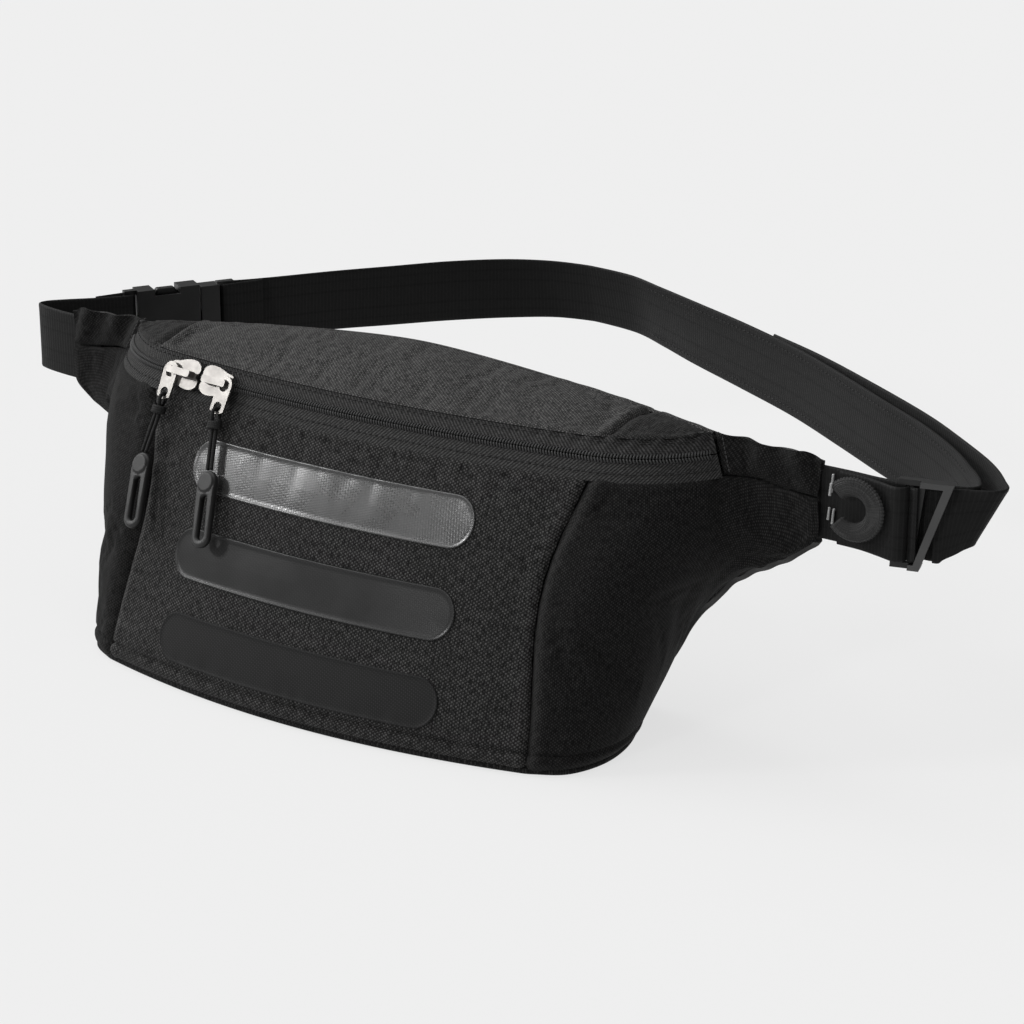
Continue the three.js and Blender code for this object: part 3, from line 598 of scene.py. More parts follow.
# ---------------------------------------------------------------- materials
class Shader:
    """A node material, with short calls for its maths."""

    def __init__(self, name, **sockets):
        self.material = bpy.data.materials.new(name)
        self.material.use_nodes = True
        self.nodes = self.material.node_tree.nodes
        self.links = self.material.node_tree.links
        self.bsdf = self.nodes["Principled BSDF"]
        for socket, value in sockets.items():
            self.bsdf.inputs[socket.replace("_", " ")].default_value = value

    def node(self, kind, inputs=(), **settings):
        made = self.nodes.new(kind)
        for key, value in settings.items():
            setattr(made, key, value)
        for key, value in dict(inputs).items():
            if isinstance(value, bpy.types.NodeSocket):
                self.links.new(value, made.inputs[key])
            else:
                made.inputs[key].default_value = value
        return made

    def math(self, operation, a, b=0.0):
        return self.node("ShaderNodeMath", {0: a, 1: b, 2: 0.0}, operation=operation).outputs[0]

    def mul(self, a, b):
        return self.math("MULTIPLY", a, b)

    def add(self, a, b):
        return self.math("ADD", a, b)

    def cloth(self):
        """Cloth coordinates in mm: along the weft, along the warp."""
        vector = self.node("ShaderNodeAttribute", attribute_name="cloth").outputs["Vector"]
        parts = self.node("ShaderNodeSeparateXYZ", {"Vector": vector}).outputs
        return vector, parts["X"], parts["Y"]

    def noise(self, vector, scale, detail=2.0, rough=0.5):
        inputs = {"Vector": vector, "Scale": scale, "Detail": detail, "Roughness": rough}
        return self.node("ShaderNodeTexNoise", inputs).outputs["Fac"]

    def ramp(self, value, low, high, out_low=0.0, out_high=1.0):
        inputs = {"Value": value, "From Min": low, "From Max": high, "To Min": out_low, "To Max": out_high}
        return self.node("ShaderNodeMapRange", inputs).outputs["Result"]

    def colours(self, share, first, second):
        node = self.node("ShaderNodeMix", data_type="RGBA")
        node.inputs["A"].default_value = (*first, 1)
        node.inputs["B"].default_value = (*second, 1)
        self.links.new(share, node.inputs["Factor"])
        return node.outputs["Result"]

    def blend(self, share, first, second):
        node = self.node("ShaderNodeMix", data_type="RGBA")
        self.links.new(share, node.inputs["Factor"])
        self.links.new(first, node.inputs["A"])
        self.links.new(second, node.inputs["B"])
        return node.outputs["Result"]

    def put(self, socket, value):
        self.links.new(value, self.bsdf.inputs[socket])

    def bump(self, height, distance):
        """Relief whose height of 1 stands a distance in mm."""
        inputs = {"Height": height, "Distance": distance * MM, "Strength": 1.0}
        self.put("Normal", self.node("ShaderNodeBump", inputs).outputs["Normal"])

    def checks(self, a, b, pitch_a, pitch_b):
        """A plain weave: height, and which cells have the warp on top."""
        i = self.math("FLOOR", self.mul(a, 1 / pitch_a))
        j = self.math("FLOOR", self.mul(b, 1 / pitch_b))
        warp = self.math("MODULO", self.math("ABSOLUTE", self.add(i, j)), 2.0)
        fa = self.math("PINGPONG", self.mul(a, 1 / pitch_a), 0.5)
        fb = self.math("PINGPONG", self.mul(b, 1 / pitch_b), 0.5)
        ca = self.math("SINE", self.mul(fa, math.pi))
        cb = self.math("SINE", self.mul(fb, math.pi))
        over = self.mul(self.math("POWER", ca, 0.7), self.math("POWER", cb, 0.25))
        under = self.mul(self.math("POWER", cb, 0.7), self.math("POWER", ca, 0.25))
        height = self.add(self.mul(over, warp), self.mul(under, self.math("SUBTRACT", 1.0, warp)))
        return height, warp


def grey(level, warm=0.0):
    """A grey, leaning to yellow by the share warm."""
    return (level * (1 + warm), level, level * (1 - warm))


def canvas(name, tone, pitch=(1.1, 0.8), high=2.6, relief=0.12):
    """Coarse polyester canvas: dark gaps as painted shade, dull weft, and a light fleck as painted
    highlight where each warp thread lies high.
    """
    s = Shader(name, Specular_IOR_Level=0.08, Sheen_Weight=0.02, Sheen_Roughness=0.5)
    vector, a, b = s.cloth()
    height, warp = s.checks(a, b, *pitch)
    stretch = (0.9 / pitch[0], 0.25 / pitch[1], 1)
    threads = s.node("ShaderNodeVectorMath", {0: vector, 1: stretch}, operation="MULTIPLY")
    uneven = s.noise(threads.outputs[0], 1.0, 2.0, 0.6)
    wear_and_painted_highlight = s.noise(vector, 0.04, 3.0)
    cell = s.add(0.22, s.mul(warp, 0.78))
    # The colour follows the weave's height: painted shade down in the gaps and painted highlight on the
    # raised threads; the uneven flecks and the slow noise are the yarn's own tone.
    level = s.mul(s.mul(height, cell), s.ramp(uneven, 0.32, 0.68, 0.12, 1.5))
    level = s.mul(level, s.ramp(wear_and_painted_highlight, 0.3, 0.7, 0.85, 1.1))
    # Painted highlight: each point carries how much paler its rolled seam edge is painted.
    painted_seam_highlight = s.node("ShaderNodeAttribute", attribute_name="wear_and_painted_highlight").outputs["Fac"]
    level = s.mul(level, s.add(1.0, painted_seam_highlight))
    s.put("Base Color", s.colours(level, grey(tone * 0.25), grey(tone * high, 0.015)))
    s.put("Roughness", s.ramp(height, 0, 1, 0.95, 0.75))
    s.bump(height, relief)
    return s.material


def twill(name, tone):
    """Zip tape: slanting ribs that lean the other way on the other tape, under small irregular flecks."""
    s = Shader(name, Roughness=0.8, Specular_IOR_Level=0.1)
    vector, a, b = s.cloth()
    slant = s.math("SINE", s.mul(s.add(a, s.mul(b, 0.9)), 2 * math.pi / 1.7))
    threads = s.math("SINE", s.mul(b, 2 * math.pi / 0.8))
    height = s.add(s.ramp(slant, -1, 1, 0.0, 0.8), s.ramp(threads, -1, 1, 0.0, 0.2))
    level = s.mul(height, s.ramp(s.noise(vector, 0.9, 2.0, 0.6), 0.32, 0.68, 0.3, 1.4))
    s.put("Base Color", s.colours(level, grey(tone * 0.35), grey(tone * 2.6, 0.01)))
    s.bump(height, 0.16)
    return s.material


def ribbed(name, tone, pitch, relief, stripes=(), rough=0.62):
    """Webbing: fine ribs across it, woven along, with a few lengthwise bands."""
    s = Shader(name, Roughness=rough, Specular_IOR_Level=0.12, Sheen_Weight=0.02, Sheen_Roughness=0.5)
    vector, a, b = s.cloth()
    height, _ = s.checks(a, b, pitch, pitch * 0.7)
    rib = s.math("SINE", s.mul(a, 2 * math.pi / (pitch * 2)))
    slow = s.noise(vector, 0.12, 3.0)
    shade = s.add(s.mul(height, 0.6), s.mul(s.ramp(rib, -1, 1), 0.4))
    for place, width, depth in stripes:
        d = s.math("ABSOLUTE", s.math("SUBTRACT", s.math("ABSOLUTE", b), place))
        shade = s.math("SUBTRACT", shade, s.ramp(d, 0.0, width, depth, 0.0))
    level = s.mul(s.ramp(shade, 0.0, 1.0), s.ramp(slow, 0.3, 0.7, 0.75, 1.0))
    s.put("Base Color", s.colours(level, grey(tone * 0.45), grey(tone * 1.25)))
    s.put("Roughness", s.ramp(shade, 0, 1, rough + 0.15, rough - 0.05))
    s.bump(shade, relief)
    return s.material


def coated(name, tone, rough, relief, spec, pitch=(0.95, 0.75)):
    """Smooth coating pressed on the canvas, whose weave shows through."""
    s = Shader(name, Specular_IOR_Level=spec)
    vector, a, b = s.cloth()
    height, warp = s.checks(s.add(a, s.mul(b, 0.18)), s.math("SUBTRACT", b, s.mul(a, 0.3)), *pitch)
    slow = s.noise(vector, 0.07, 3.0)
    level = s.mul(height, s.add(0.5, s.mul(warp, 0.5)))
    s.put("Base Color", s.colours(level, grey(tone * 0.5), grey(tone * 1.6)))
    even = s.ramp(slow, 0.3, 0.7, rough - 0.03, rough + 0.04)
    s.put("Roughness", s.add(even, s.ramp(level, 0, 1, 0.1, 0)))
    s.bump(height, relief)
    return s.material


def moulded(name, tone, rough, grain=0.02, spec=0.45):
    s = Shader(name, Specular_IOR_Level=spec)
    where = s.node("ShaderNodeTexCoord").outputs["Object"]
    fine = s.noise(where, 2600.0, 2.0)
    slow = s.noise(where, 60.0, 2.0)
    s.put("Base Color", s.colours(s.ramp(slow, 0.3, 0.7), grey(tone * 0.85), grey(tone * 1.1)))
    s.put("Roughness", s.ramp(slow, 0.3, 0.7, rough - 0.05, rough + 0.06))
    s.bump(fine, grain)
    return s.material


def satin_nickel():
    s = Shader("nickel", Metallic=1.0)
    where = s.node("ShaderNodeTexCoord").outputs["Object"]
    fine = s.noise(where, 1800.0, 3.0)
    slow = s.noise(where, 160.0, 2.0)
    s.put("Base Color", s.colours(s.ramp(slow, 0.3, 0.7), (0.18, 0.172, 0.163), (0.25, 0.24, 0.228)))
    s.put("Roughness", s.ramp(fine, 0.3, 0.7, 0.36, 0.46))
    s.bump(fine, 0.01)
    return s.material


def spacer_mesh():
    """Padded air mesh for the back: rows of small round openings."""
    s = Shader("air_mesh", Roughness=0.9, Sheen_Weight=0.1, Sheen_Roughness=0.6)
    _, a, b = s.cloth()
    pitch = 2.6
    row_pitch = pitch * 0.87
    row = s.math("FLOOR", s.mul(b, 1 / row_pitch))
    shift = s.mul(s.math("MODULO", s.math("ABSOLUTE", row), 2.0), 0.5)
    fa = s.math("SUBTRACT", s.math("FRACT", s.add(s.mul(a, 1 / pitch), shift)), 0.5)
    fb = s.math("SUBTRACT", s.math("FRACT", s.mul(b, 1 / row_pitch)), 0.5)
    far = s.math("SQRT", s.add(s.mul(fa, fa), s.mul(fb, fb)))
    web = s.ramp(far, 0.2, 0.34)
    threads = s.math("SINE", s.mul(s.add(a, b), 2 * math.pi / 0.5))
    height = s.add(web, s.mul(threads, 0.08))
    s.put("Base Color", s.colours(web, grey(0.004), grey(0.024, 0.02)))
    s.bump(height, 0.5)
    return s.material


CANVAS = canvas("canvas_front", 0.0105, high=5.8)
CANVAS_SIDE = canvas("canvas_side", 0.0074, pitch=(0.9, 0.7), high=3.0)
# Painted sheen: the lid's canvas has the side canvas's weave but a base tone several times lighter,
# standing in for sheen from the light above.
CANVAS_TOP_PAINTED_SHEEN = canvas("canvas_top_painted_sheen", 0.036, pitch=(0.9, 0.7), high=2.9, relief=0.1)
CANVAS_END = canvas("canvas_end", 0.016, pitch=(0.9, 0.7), high=2.8, relief=0.1)
LINING = ribbed("lining", 0.035, 0.3, 0.02, rough=0.7)
WEBBING = ribbed("webbing", 0.0070, 0.9, 0.14, stripes=((5.2, 0.9, 0.35), (10.6, 0.8, 0.3)), rough=0.55)
RIBBON = ribbed("ribbon", 0.030, 0.8, 0.3, rough=0.5)
TAPE = twill("zip_tape", 0.020)
COIL = moulded("zip_coil", 0.034, 0.55, spec=0.25)
THREAD = ribbed("thread", 0.05, 0.5, 0.05, rough=0.5)
DARK_THREAD = ribbed("dark_thread", 0.02, 0.5, 0.05, rough=0.55)
BRIGHT_THREAD = ribbed("bar_tack_thread", 0.34, 0.35, 0.06, rough=0.4)
GLOSS = coated("coated_gloss", 0.013, 0.26, 0.028, 0.85, pitch=(1.3, 1.05))
SATIN = coated("coated_satin", 0.013, 0.3, 0.012, 0.24)
MATTE = coated("coated_matte", 0.014, 0.6, 0.008, 0.1)
NICKEL = satin_nickel()
CORD = ribbed("cord", 0.010, 0.5, 0.12, rough=0.55)
RUBBER = moulded("rubber", 0.012, 0.45, grain=0.03, spec=0.3)
PLASTIC = moulded("plastic", 0.008, 0.34, grain=0.012, spec=0.3)
# A paler copy of the black plastic: a painted sheen for the adjuster's outer bar.
PLASTIC_PAINTED_SHEEN = moulded("plastic_painted_sheen", 0.045, 0.42, grain=0.012, spec=0.3)
MESH = spacer_mesh()

# ---------------------------------------------------------------- padded fabric by cloth simulation
# Points across and up each panel's coarse grid.
COARSE = {
    "front": (57, 29),
    "side": (45, 33),
    "top": (57, 15),
    "end": (17, 13),
    "wing": (21, 9),
    "back": (81, 27),
}
GRIDS = {
    "front": front_grid,
    "side": side_grid,
    "top": top_grid,
    "end": top_end_grid,
    "wing": wing_top_grid,
    "back": back_grid,
}
# The farthest that a point may move, in mm.
PUFF = {"front": 3.0, "side": 9.0, "top": 3.0, "end": 2.0, "wing": 3.0, "back": 3.5}
SIM_FRAMES = 20


def filled(name, grid):
    """The panel before its simulation. A side panel starts already crowned, most near its front top."""
    if name != "side":
        return grid
    u = steps(grid.shape[0])[:, None]
    v = steps(grid.shape[1])[None, :]
    crown = 4.0 * (np.sin(math.pi * u) * np.sin(math.pi * v)) ** 0.7
    crown = crown + 3.2 * hump(u, 0.24, 0.2) * hump(v, 0.7, 0.3) * np.sin(math.pi * v) ** 0.5
    return grid + normals_of(grid) * (crown * np.minimum(1, u * 12))[..., None]


def cloth_sheet(name, grid):
    """A coarse panel held round its rim, cut a little large, with air behind it."""
    nu, nv = grid.shape[:2]
    obj = mesh_object("sim_" + name, grid.reshape(-1, 3), grid_faces(nu, nv), [])
    obj.vertex_groups.new(name="rim").add(rim_of(nu, nv), 1.0, "REPLACE")
    modifier = obj.modifiers.new("cloth", "CLOTH")
    cloth = modifier.settings
    cloth.quality = 6
    cloth.mass = 0.2
    cloth.tension_stiffness = 12
    cloth.compression_stiffness = 12
    cloth.shear_stiffness = 6
    cloth.bending_stiffness = 0.3
    cloth.vertex_group_mass = "rim"
    cloth.use_pressure = True
    cloth.uniform_pressure_force = 4
    cloth.shrink_min = -0.008
    cloth.effector_weights.gravity = 0
    modifier.collision_settings.use_collision = False
    modifier.point_cache.frame_start = 1
    modifier.point_cache.frame_end = SIM_FRAMES
    return obj


def capped(move, cap):
    """Moves eased off towards a largest size."""
    size = np.linalg.norm(move, axis=-1, keepdims=True)
    return move * (cap * np.tanh(size / cap) / np.maximum(size, 1e-9))


def simulate():
    """How each padded panel moves when it is blown up: a grid of moves in mm for each."""
    grids = {name: GRIDS[name](*COARSE[name]) for name in GRIDS}
    sheets = {name: cloth_sheet(name, filled(name, grid)) for name, grid in grids.items()}
    scene = bpy.context.scene
    for number in range(1, SIM_FRAMES + 1):
        scene.frame_set(number)
    depsgraph = bpy.context.evaluated_depsgraph_get()
    moves = {}
    for name, obj in sheets.items():
        blown = obj.evaluated_get(depsgraph).to_mesh()
        points = np.zeros(len(blown.vertices) * 3)
        blown.vertices.foreach_get("co", points)
        move = points.reshape(grids[name].shape) / MM - grids[name]
        moves[name] = capped(move, PUFF[name])
        print("cloth", name, round(float(np.abs(move).max()), 2), "mm before the cap")
    for obj in sheets.values():
        bpy.data.objects.remove(obj)
    scene.frame_set(1)
    return moves


MOVES = simulate()


def blown_grid(name, nu, nv):
    """A panel's fine grid, moved as its coarse cloth was."""
    return GRIDS[name](nu, nv) + refine(MOVES[name], nu, nv)


def relief(grid, height):
    return grid + normals_of(grid) * height[..., None]


# ---------------------------------------------------------------- body panels
def front_panel():
    grid = blown_grid("front", 241, 141)
    d = Edges(grid)
    height = -1.7 * dip(d.left, 1.3) - 1.7 * dip(d.right, 1.3)
    height += 0.7 * hump(np.minimum(d.left, d.right), 4.5, 3.5)
    height += 0.22 * waves(grid, 46, 5) * (1 - dip(d.nearest, 14))
    # A rolled band along the foot, under a seam.
    height += 1.0 * hump(d.low, 2.4, 2.6) - 1.7 * hump(d.low, 5.6, 0.9) - 1.6 * dip(d.low, 0.8)
    # The folded edge under the zip.
    height += 0.5 * hump(d.high, 2.0, 2.2) - 0.9 * hump(d.high, 0.0, 0.8)
    height -= 0.25 * hump(d.high, 4.6, 0.6)
    grid = relief(grid, height)
    # The foot turns under to meet the bottom.
    foot = dip(d.low, 1.6)[..., None]
    return grid + foot * arr(0, 1.2, -2.6)


def side_panel():
    grid = blown_grid("side", 181, 141)
    d = Edges(grid)
    height = -1.7 * dip(d.left, 1.2) + 1.1 * hump(d.left, 5.0, 4.2)
    height += 0.6 * waves(grid, 60, 9) * (1 - dip(d.nearest, 16))
    height += 0.8 * hump(d.low, 2.2, 2.6) - 1.2 * hump(d.low, 5.4, 0.9) - 1.4 * dip(d.low, 0.8)
    height += 0.4 * hump(d.high, 2.2, 2.4) - 1.2 * dip(d.high, 0.8)
    grid = relief(grid, height)
    foot = dip(d.low, 1.6)[..., None]
    inward = unit(arr(0, 0, 0) - grid * arr(1, 1, 0))
    # The front edge is tucked under the front panel's edge.
    tucked = dip(d.left, 0.9)[..., None] * arr(-1.8, 1.3, 0)
    return grid + foot * (inward * 1.2 + arr(0, 0, -2.6)) + tucked


def top_panel():
    grid = blown_grid("top", 241, 91)
    d = Edges(grid)
    height = -1.4 * dip(d.left, 1.2) - 1.4 * dip(d.right, 1.2)
    height += 0.8 * hump(np.minimum(d.left, d.right), 3.0, 2.4)
    height += 0.4 * waves(grid, 55, 3) * (1 - dip(d.nearest, 12))
    height += LID_LAP * dip(d.low, 6) + 0.5 * hump(d.low, 2.2, 2.0) - 0.3 * dip(d.low, 0.7)
    height -= 1.3 * dip(d.high, 1.5)
    return relief(grid, height)


TOP = top_panel()


def top_end():
    grid = blown_grid("end", 61, 57)
    d = Edges(grid)
    height = -1.4 * dip(d.left, 1.2) + 0.5 * hump(d.left, 3.2, 2.4)
    height += 0.35 * waves(grid, 26, 4) * (1 - dip(d.nearest, 7))
    height += LID_LAP * dip(d.low, 6) + 0.5 * hump(d.low, 2.2, 2.0) - 0.3 * dip(d.low, 0.7)
    height -= 1.0 * dip(d.high, 1.5)
    grid = relief(grid, height)
    # The seam edge is tucked under the top panel's edge, so no light comes through the seam.
    hem = between(steps(grid.shape[1]), steps(TOP.shape[1]), TOP[-1])
    return grid + dip(d.left, 2.0)[..., None] * (hem + arr(-1.5, 0, -0.9) - grid[0])[None]


def wing_top():
    grid = blown_grid("wing", 101, 37)
    d = Edges(grid)
    bulges = 1.6 * np.sin(d.left * 2 * math.pi / 17.5 + 0.8) * (1 - dip(d.low, 5)) * (1 - dip(d.left, 5))
    height = bulges + 0.5 * waves(grid, 22, 8) * (1 - dip(d.nearest, 4))
    height += -1.2 * dip(d.low, 1.0) - 1.0 * dip(d.left, 0.9) + 0.5 * hump(d.low, 2.2, 1.8)
    return relief(grid, height)


def skin(node, grid, outside, body, flip=False, wear_and_painted_highlight=None):
    """One padded fabric panel, which stands for a CAD node."""
    obj = panel(f"{node}_fabric", grid, SKIN, outside, LINING, flip, wear_and_painted_highlight=wear_and_painted_highlight)
    settle(obj, body, node)


def pair(name, grid, outside, body, wear_and_painted_highlight=0.0):
    """A right-hand panel and its mirror image on the left, painted paler beside its first edge and a
    little along its foot: a painted highlight on the rolled seam edges.
    """
    d = Edges(grid)
    # Painted highlight: the strip where the rolled edge would catch the light is painted paler.
    painted_seam_highlight = wear_and_painted_highlight * hump(d.left, 4.2, 2.8) + wear_and_painted_highlight * 0.4 * hump(d.low, 2.4, 2.4)
    skin(f"{name}_right", grid, outside, body, False, painted_seam_highlight)
    skin(f"{name}_left", mirrored(grid), outside, body, True, painted_seam_highlight)


FRONT = front_panel()


def body_panels():
    d = Edges(FRONT)
    # Painted highlight: the front is painted paler along its rolled side seams and its foot.
    front_painted_highlight = 0.7 * hump(np.minimum(d.left, d.right), 3.4, 2.2) + 0.5 * hump(d.low, 2.4, 2.4)
    skin("front_panel", FRONT, CANVAS, "bag", wear_and_painted_highlight=front_painted_highlight)
    pair("side_panel", side_panel(), CANVAS_SIDE, "bag", wear_and_painted_highlight=1.6)
    skin("top_panel", TOP, CANVAS_TOP_PAINTED_SHEEN, "lid")
    pair("top_end", top_end(), CANVAS_END, "lid")
    pair("wing_top", wing_top(), CANVAS_SIDE, "bag")


body_panels()


# ---------------------------------------------------------------- metal and plastic
def round_edges(obj, width, segments):
    """Welds a faceted piece, clears its flat triangles and rounds its edges, all by modifiers."""
    weld = obj.modifiers.new("weld", "WELD")
    weld.merge_threshold = 0.00001
    flat = obj.modifiers.new("flat", "DECIMATE")
    flat.decimate_type = "DISSOLVE"
    flat.angle_limit = math.radians(1.5)
    bevel = obj.modifiers.new("bevel", "BEVEL")
    bevel.width = width * MM
    bevel.segments = segments
    bevel.limit_method = "ANGLE"
    bevel.angle_limit = math.radians(32)
    bevel.harden_normals = False
    smooth = obj.modifiers.new("normals", "WEIGHTED_NORMAL")
    smooth.keep_sharp = True
    obj.data.shade_smooth()


def hard_parts():
    """The metal pieces are the CAD's own, with a material and rounded edges."""
    for part, width, segments in (("slider", 0.4, 3), ("pull_tab", 0.22, 2)):
        for side in ("left", "right"):
            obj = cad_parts[f"{part}_{side}"]
            obj.data.materials.clear()
            obj.data.materials.append(NICKEL)
            round_edges(obj, width, segments)


hard_parts()


def reshaped(node, shape, materials, slot_of=None):
    """A copy of a CAD node with its points moved by shape, which stands for the node."""
    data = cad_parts[node].data.copy()
    points = np.zeros(len(data.vertices) * 3)
    data.vertices.foreach_get("co", points)
    moved = shape(points.reshape(-1, 3) / MM)
    data.vertices.foreach_set("co", (moved * MM).ravel())
    data.materials.clear()
    for material in materials:
        data.materials.append(material)
    for face in data.polygons:
        face.material_index = slot_of(np.array(face.center) / MM) if slot_of else 0
    data.update()
    obj = link(bpy.data.objects.new(f"{node}_moulded", data))
    round_edges(obj, 0.9, 4)
    settle(obj, BODY_OF[node], node)


BUCKLE_HEIGHT = 0.93
BODY_OF = {
    "buckle_female": "bag",
    "buckle_male": "belt_left_half",
    "buckle_arm_upper": "arm_upper",
    "buckle_arm_lower": "arm_lower",
    "adjuster": "belt_right_half",
}


def slimmer(points):
    """The buckle is drawn a little lower than its frame, as far as the webbing lets it."""
    return points * arr(1, 1, BUCKLE_HEIGHT) + arr(0, 0, (1 - BUCKLE_HEIGHT) * WEB_MID)


def adjuster_frame(points):
    """Places along and across the adjuster, in plan."""
    c, s = math.cos(ADJUSTER_HEADING), math.sin(ADJUSTER_HEADING)
    x, y = points[..., 0] - ADJUSTER[0], points[..., 1] - ADJUSTER[1]
    return x * c + y * s, -x * s + y * c


def leaning_adjuster(points):
    """The outer bar leans away at the top, and the fixed bar leans a little with it."""
    a, b = adjuster_frame(points)
    up = points[..., 2] - WEB_MID
    a = a + up * np.interp(a, [0, 9, 13], [0.06, 0.12, 0.34])
    plan = np.array(turned(ADJUSTER, ADJUSTER_HEADING, a, b))
    return np.column_stack([plan[0], plan[1], points[:, 2]])


def adjuster_slot(centre):
    """The outer bar gets a paler plastic, a painted sheen where its face would catch the light."""
    a, _ = adjuster_frame(centre)
    return int(a > 11.5)


def plastic_fittings():
    for node in ("buckle_female", "buckle_male", "buckle_arm_upper", "buckle_arm_lower"):
        reshaped(node, slimmer, [PLASTIC])
    reshaped("adjuster", leaning_adjuster, [PLASTIC, PLASTIC_PAINTED_SHEEN], adjuster_slot)


# ---------------------------------------------------------------- patches
def front_at(x, z):
    """A point of the finished front panel, found in its grid."""
    nu, nv = FRONT.shape[:2]
    v = (z - WALL_Z) / (front_point(0, 1)[2] - WALL_Z)
    u = (x / seam_x(v) + 1) / 2
    i, j = u * (nu - 1), v * (nv - 1)
    a = np.minimum(i.astype(int), nu - 2)
    b = np.minimum(j.astype(int), nv - 2)
    f, g = (i - a)[..., None], (j - b)[..., None]
    low = mix(FRONT[a, b], FRONT[a + 1, b], f)
    high = mix(FRONT[a, b + 1], FRONT[a + 1, b + 1], f)
    return mix(low, high, g)


# Rings of a patch from its middle line outwards: share of its radius, and height.
PATCH_RINGS = (
    (0.0, 0.34), (0.3, 0.34), (0.55, 0.34), (0.75, 0.34), (0.86, 0.36), (0.9, 0.5), (0.935, 0.72),
    (0.965, 0.74), (0.985, 0.55), (1.0, 0.1), (1.0, -0.4),
)


def patch_outline(around):
    """Points round a lying pill: x, height, and the x of the nearest point of its middle line."""
    straight = PATCH_HALF - PATCH_RADIUS
    side = 2 * straight
    end = math.pi * PATCH_RADIUS
    outline = []
    for k in range(around):
        s = 2 * (side + end) * k / around
        half = 1 if s < side + end else -1
        s = s if half > 0 else s - side - end
        if s < side:
            x = (s - straight) * half
            outline.append((x, -PATCH_RADIUS * half, x))
        else:
            a = (s - side) / PATCH_RADIUS - math.pi / 2
            x = straight + PATCH_RADIUS * math.cos(a)
            outline.append((x * half, PATCH_RADIUS * math.sin(a) * half, straight * half))
    return outline


def patch_piece(name, centre, material):
    """A coated pill pressed onto the front, with a raised rim."""
    outline = np.array(patch_outline(200))
    x = np.stack([mix(outline[:, 2], outline[:, 0], r) for r, _ in PATCH_RINGS])
    z = np.stack([outline[:, 1] * r for r, _ in PATCH_RINGS])
    high = np.array([h for _, h in PATCH_RINGS])[:, None, None]
    place = x + PATCH_MIDDLE
    at = front_at(place, centre + z)
    side = unit(front_at(place + 0.5, centre + z) - front_at(place - 0.5, centre + z))
    up = unit(front_at(place, centre + z + 0.5) - front_at(place, centre + z - 0.5))
    points = at + unit(np.cross(side, up)) * high
    faces = ring_faces(len(PATCH_RINGS), len(outline), flip=True)
    obj = mesh_object(f"patch_{name}_coated", points.reshape(-1, 3), faces, [material])
    set_cloth(obj, np.stack([x, z, np.zeros_like(x)], -1).reshape(-1, 3))
    settle(obj, "bag", f"patch_{name}")


for patch_name, patch_material in (("upper", GLOSS), ("middle", SATIN), ("lower", MATTE)):
    patch_piece(patch_name, PATCH_CENTRES[patch_name], patch_material)


# ---------------------------------------------------------------- zip
TAPE_THICK = 0.7
TEETH_PITCH = 1.35
# Section of a bar of the coil at stations across: distance up, slant along, height, half width.
TEETH = (
    (0.02, 0.0, 0.5, 0.25), (0.2, 0.05, 0.95, 0.44), (0.7, 0.2, 1.1, 0.46),
    (1.3, 0.42, 1.0, 0.42), (1.8, 0.62, 0.75, 0.36), (2.1, 0.7, 0.2, 0.22),
)


def tape_grid(low, high):
    """One zip tape between two distances up from the chain."""
    t = np.linspace(-1, 1, 281)
    return np.stack([beside(t, np.full(len(t), up)) for up in np.linspace(low, high, 9)], 1)


def zip_pieces():
    for name, side, low, high, seam, body in (
        ("lower", -1, -TAPE_HALF - 1.2, -0.25, -6.4, "bag"),
        ("upper", 1, 0.25, TOP_EDGE + 1.6, 6.6, "lid"),
    ):
        grid = tape_grid(low, high)
        d = Edges(grid)
        height = np.zeros(grid.shape[:2])
        if name == "upper":
            near_end = np.clip((grid[..., 0] - 60) / 50, 0, 1)
            height += 0.7 * near_end * np.sin(d.left * 2 * math.pi / 9.5) * dip(d.high, 4.5)
        tape = relief(grid, height)
        obj = panel(f"zip_tape_{name}_fabric", tape, TAPE_THICK, TAPE, TAPE, grain=(1, side))
        settle(obj, body, f"zip_tape_{name}")
        t = np.linspace(-0.99, 0.99, 260)
        line = beside(t, np.full(len(t), seam), np.full(len(t), 0.12))
        row = stitches(f"zip_stitches_{name}", line, zip_frame(t)[3], DARK_THREAD)
        settle(row, body)
        settle(teeth(f"zip_teeth_{name}", side), body, f"zip_chain_{name}")


def teeth(name, side):
    """One side of the zip: a slanting rounded bar for each turn of the coil."""
    count = int(2 * ZIP_RUN * 0.985 / TEETH_PITCH)
    ring = 6
    t = (np.arange(count) - (count - 1) / 2) * TEETH_PITCH
    points = []
    faces = []
    for up, slant, high, wide in TEETH:
        at, along, up_axis, out = zip_frame((t + slant) / ZIP_RUN)
        for k in range(ring):
            a = 2 * math.pi * k / ring
            points.append(
                at + up_axis * up * side + along * wide * math.cos(a)
                + out * (high * 0.5 + high * 0.5 * math.sin(a))
            )
    points = np.stack(points, 1)
    per = len(TEETH) * ring
    for base in range(0, count * per, per):
        faces += ring_faces(len(TEETH), ring, base, flip=side < 0)
        first = [base + k for k in range(ring)]
        last = [base + per - ring + k for k in range(ring)]
        faces.append(first[::-1] if side > 0 else first)
        faces.append(last if side > 0 else last[::-1])
    return mesh_object(name, points.reshape(-1, 3), faces, [COIL])


zip_pieces()

# ---------------------------------------------------------------- webbing
BUCKLE = arr(-205, 84)
BUCKLE_HEADING = math.atan2(0.848, 0.529)
MALE_BAR = 53.5
ADJUSTER = arr(238, 38)
ADJUSTER_HEADING = math.radians(14)
MIDDLE_BAR = 7.4


def turned(origin, heading, a, b):
    """The place a ahead of an origin and b to its left, in plan."""
    c, s = math.cos(heading), math.sin(heading)
    return [origin[0] + a * c - b * s, origin[1] + a * s + b * c]


def along_buckle(s, e):
    return turned(BUCKLE, BUCKLE_HEADING, s, -e)


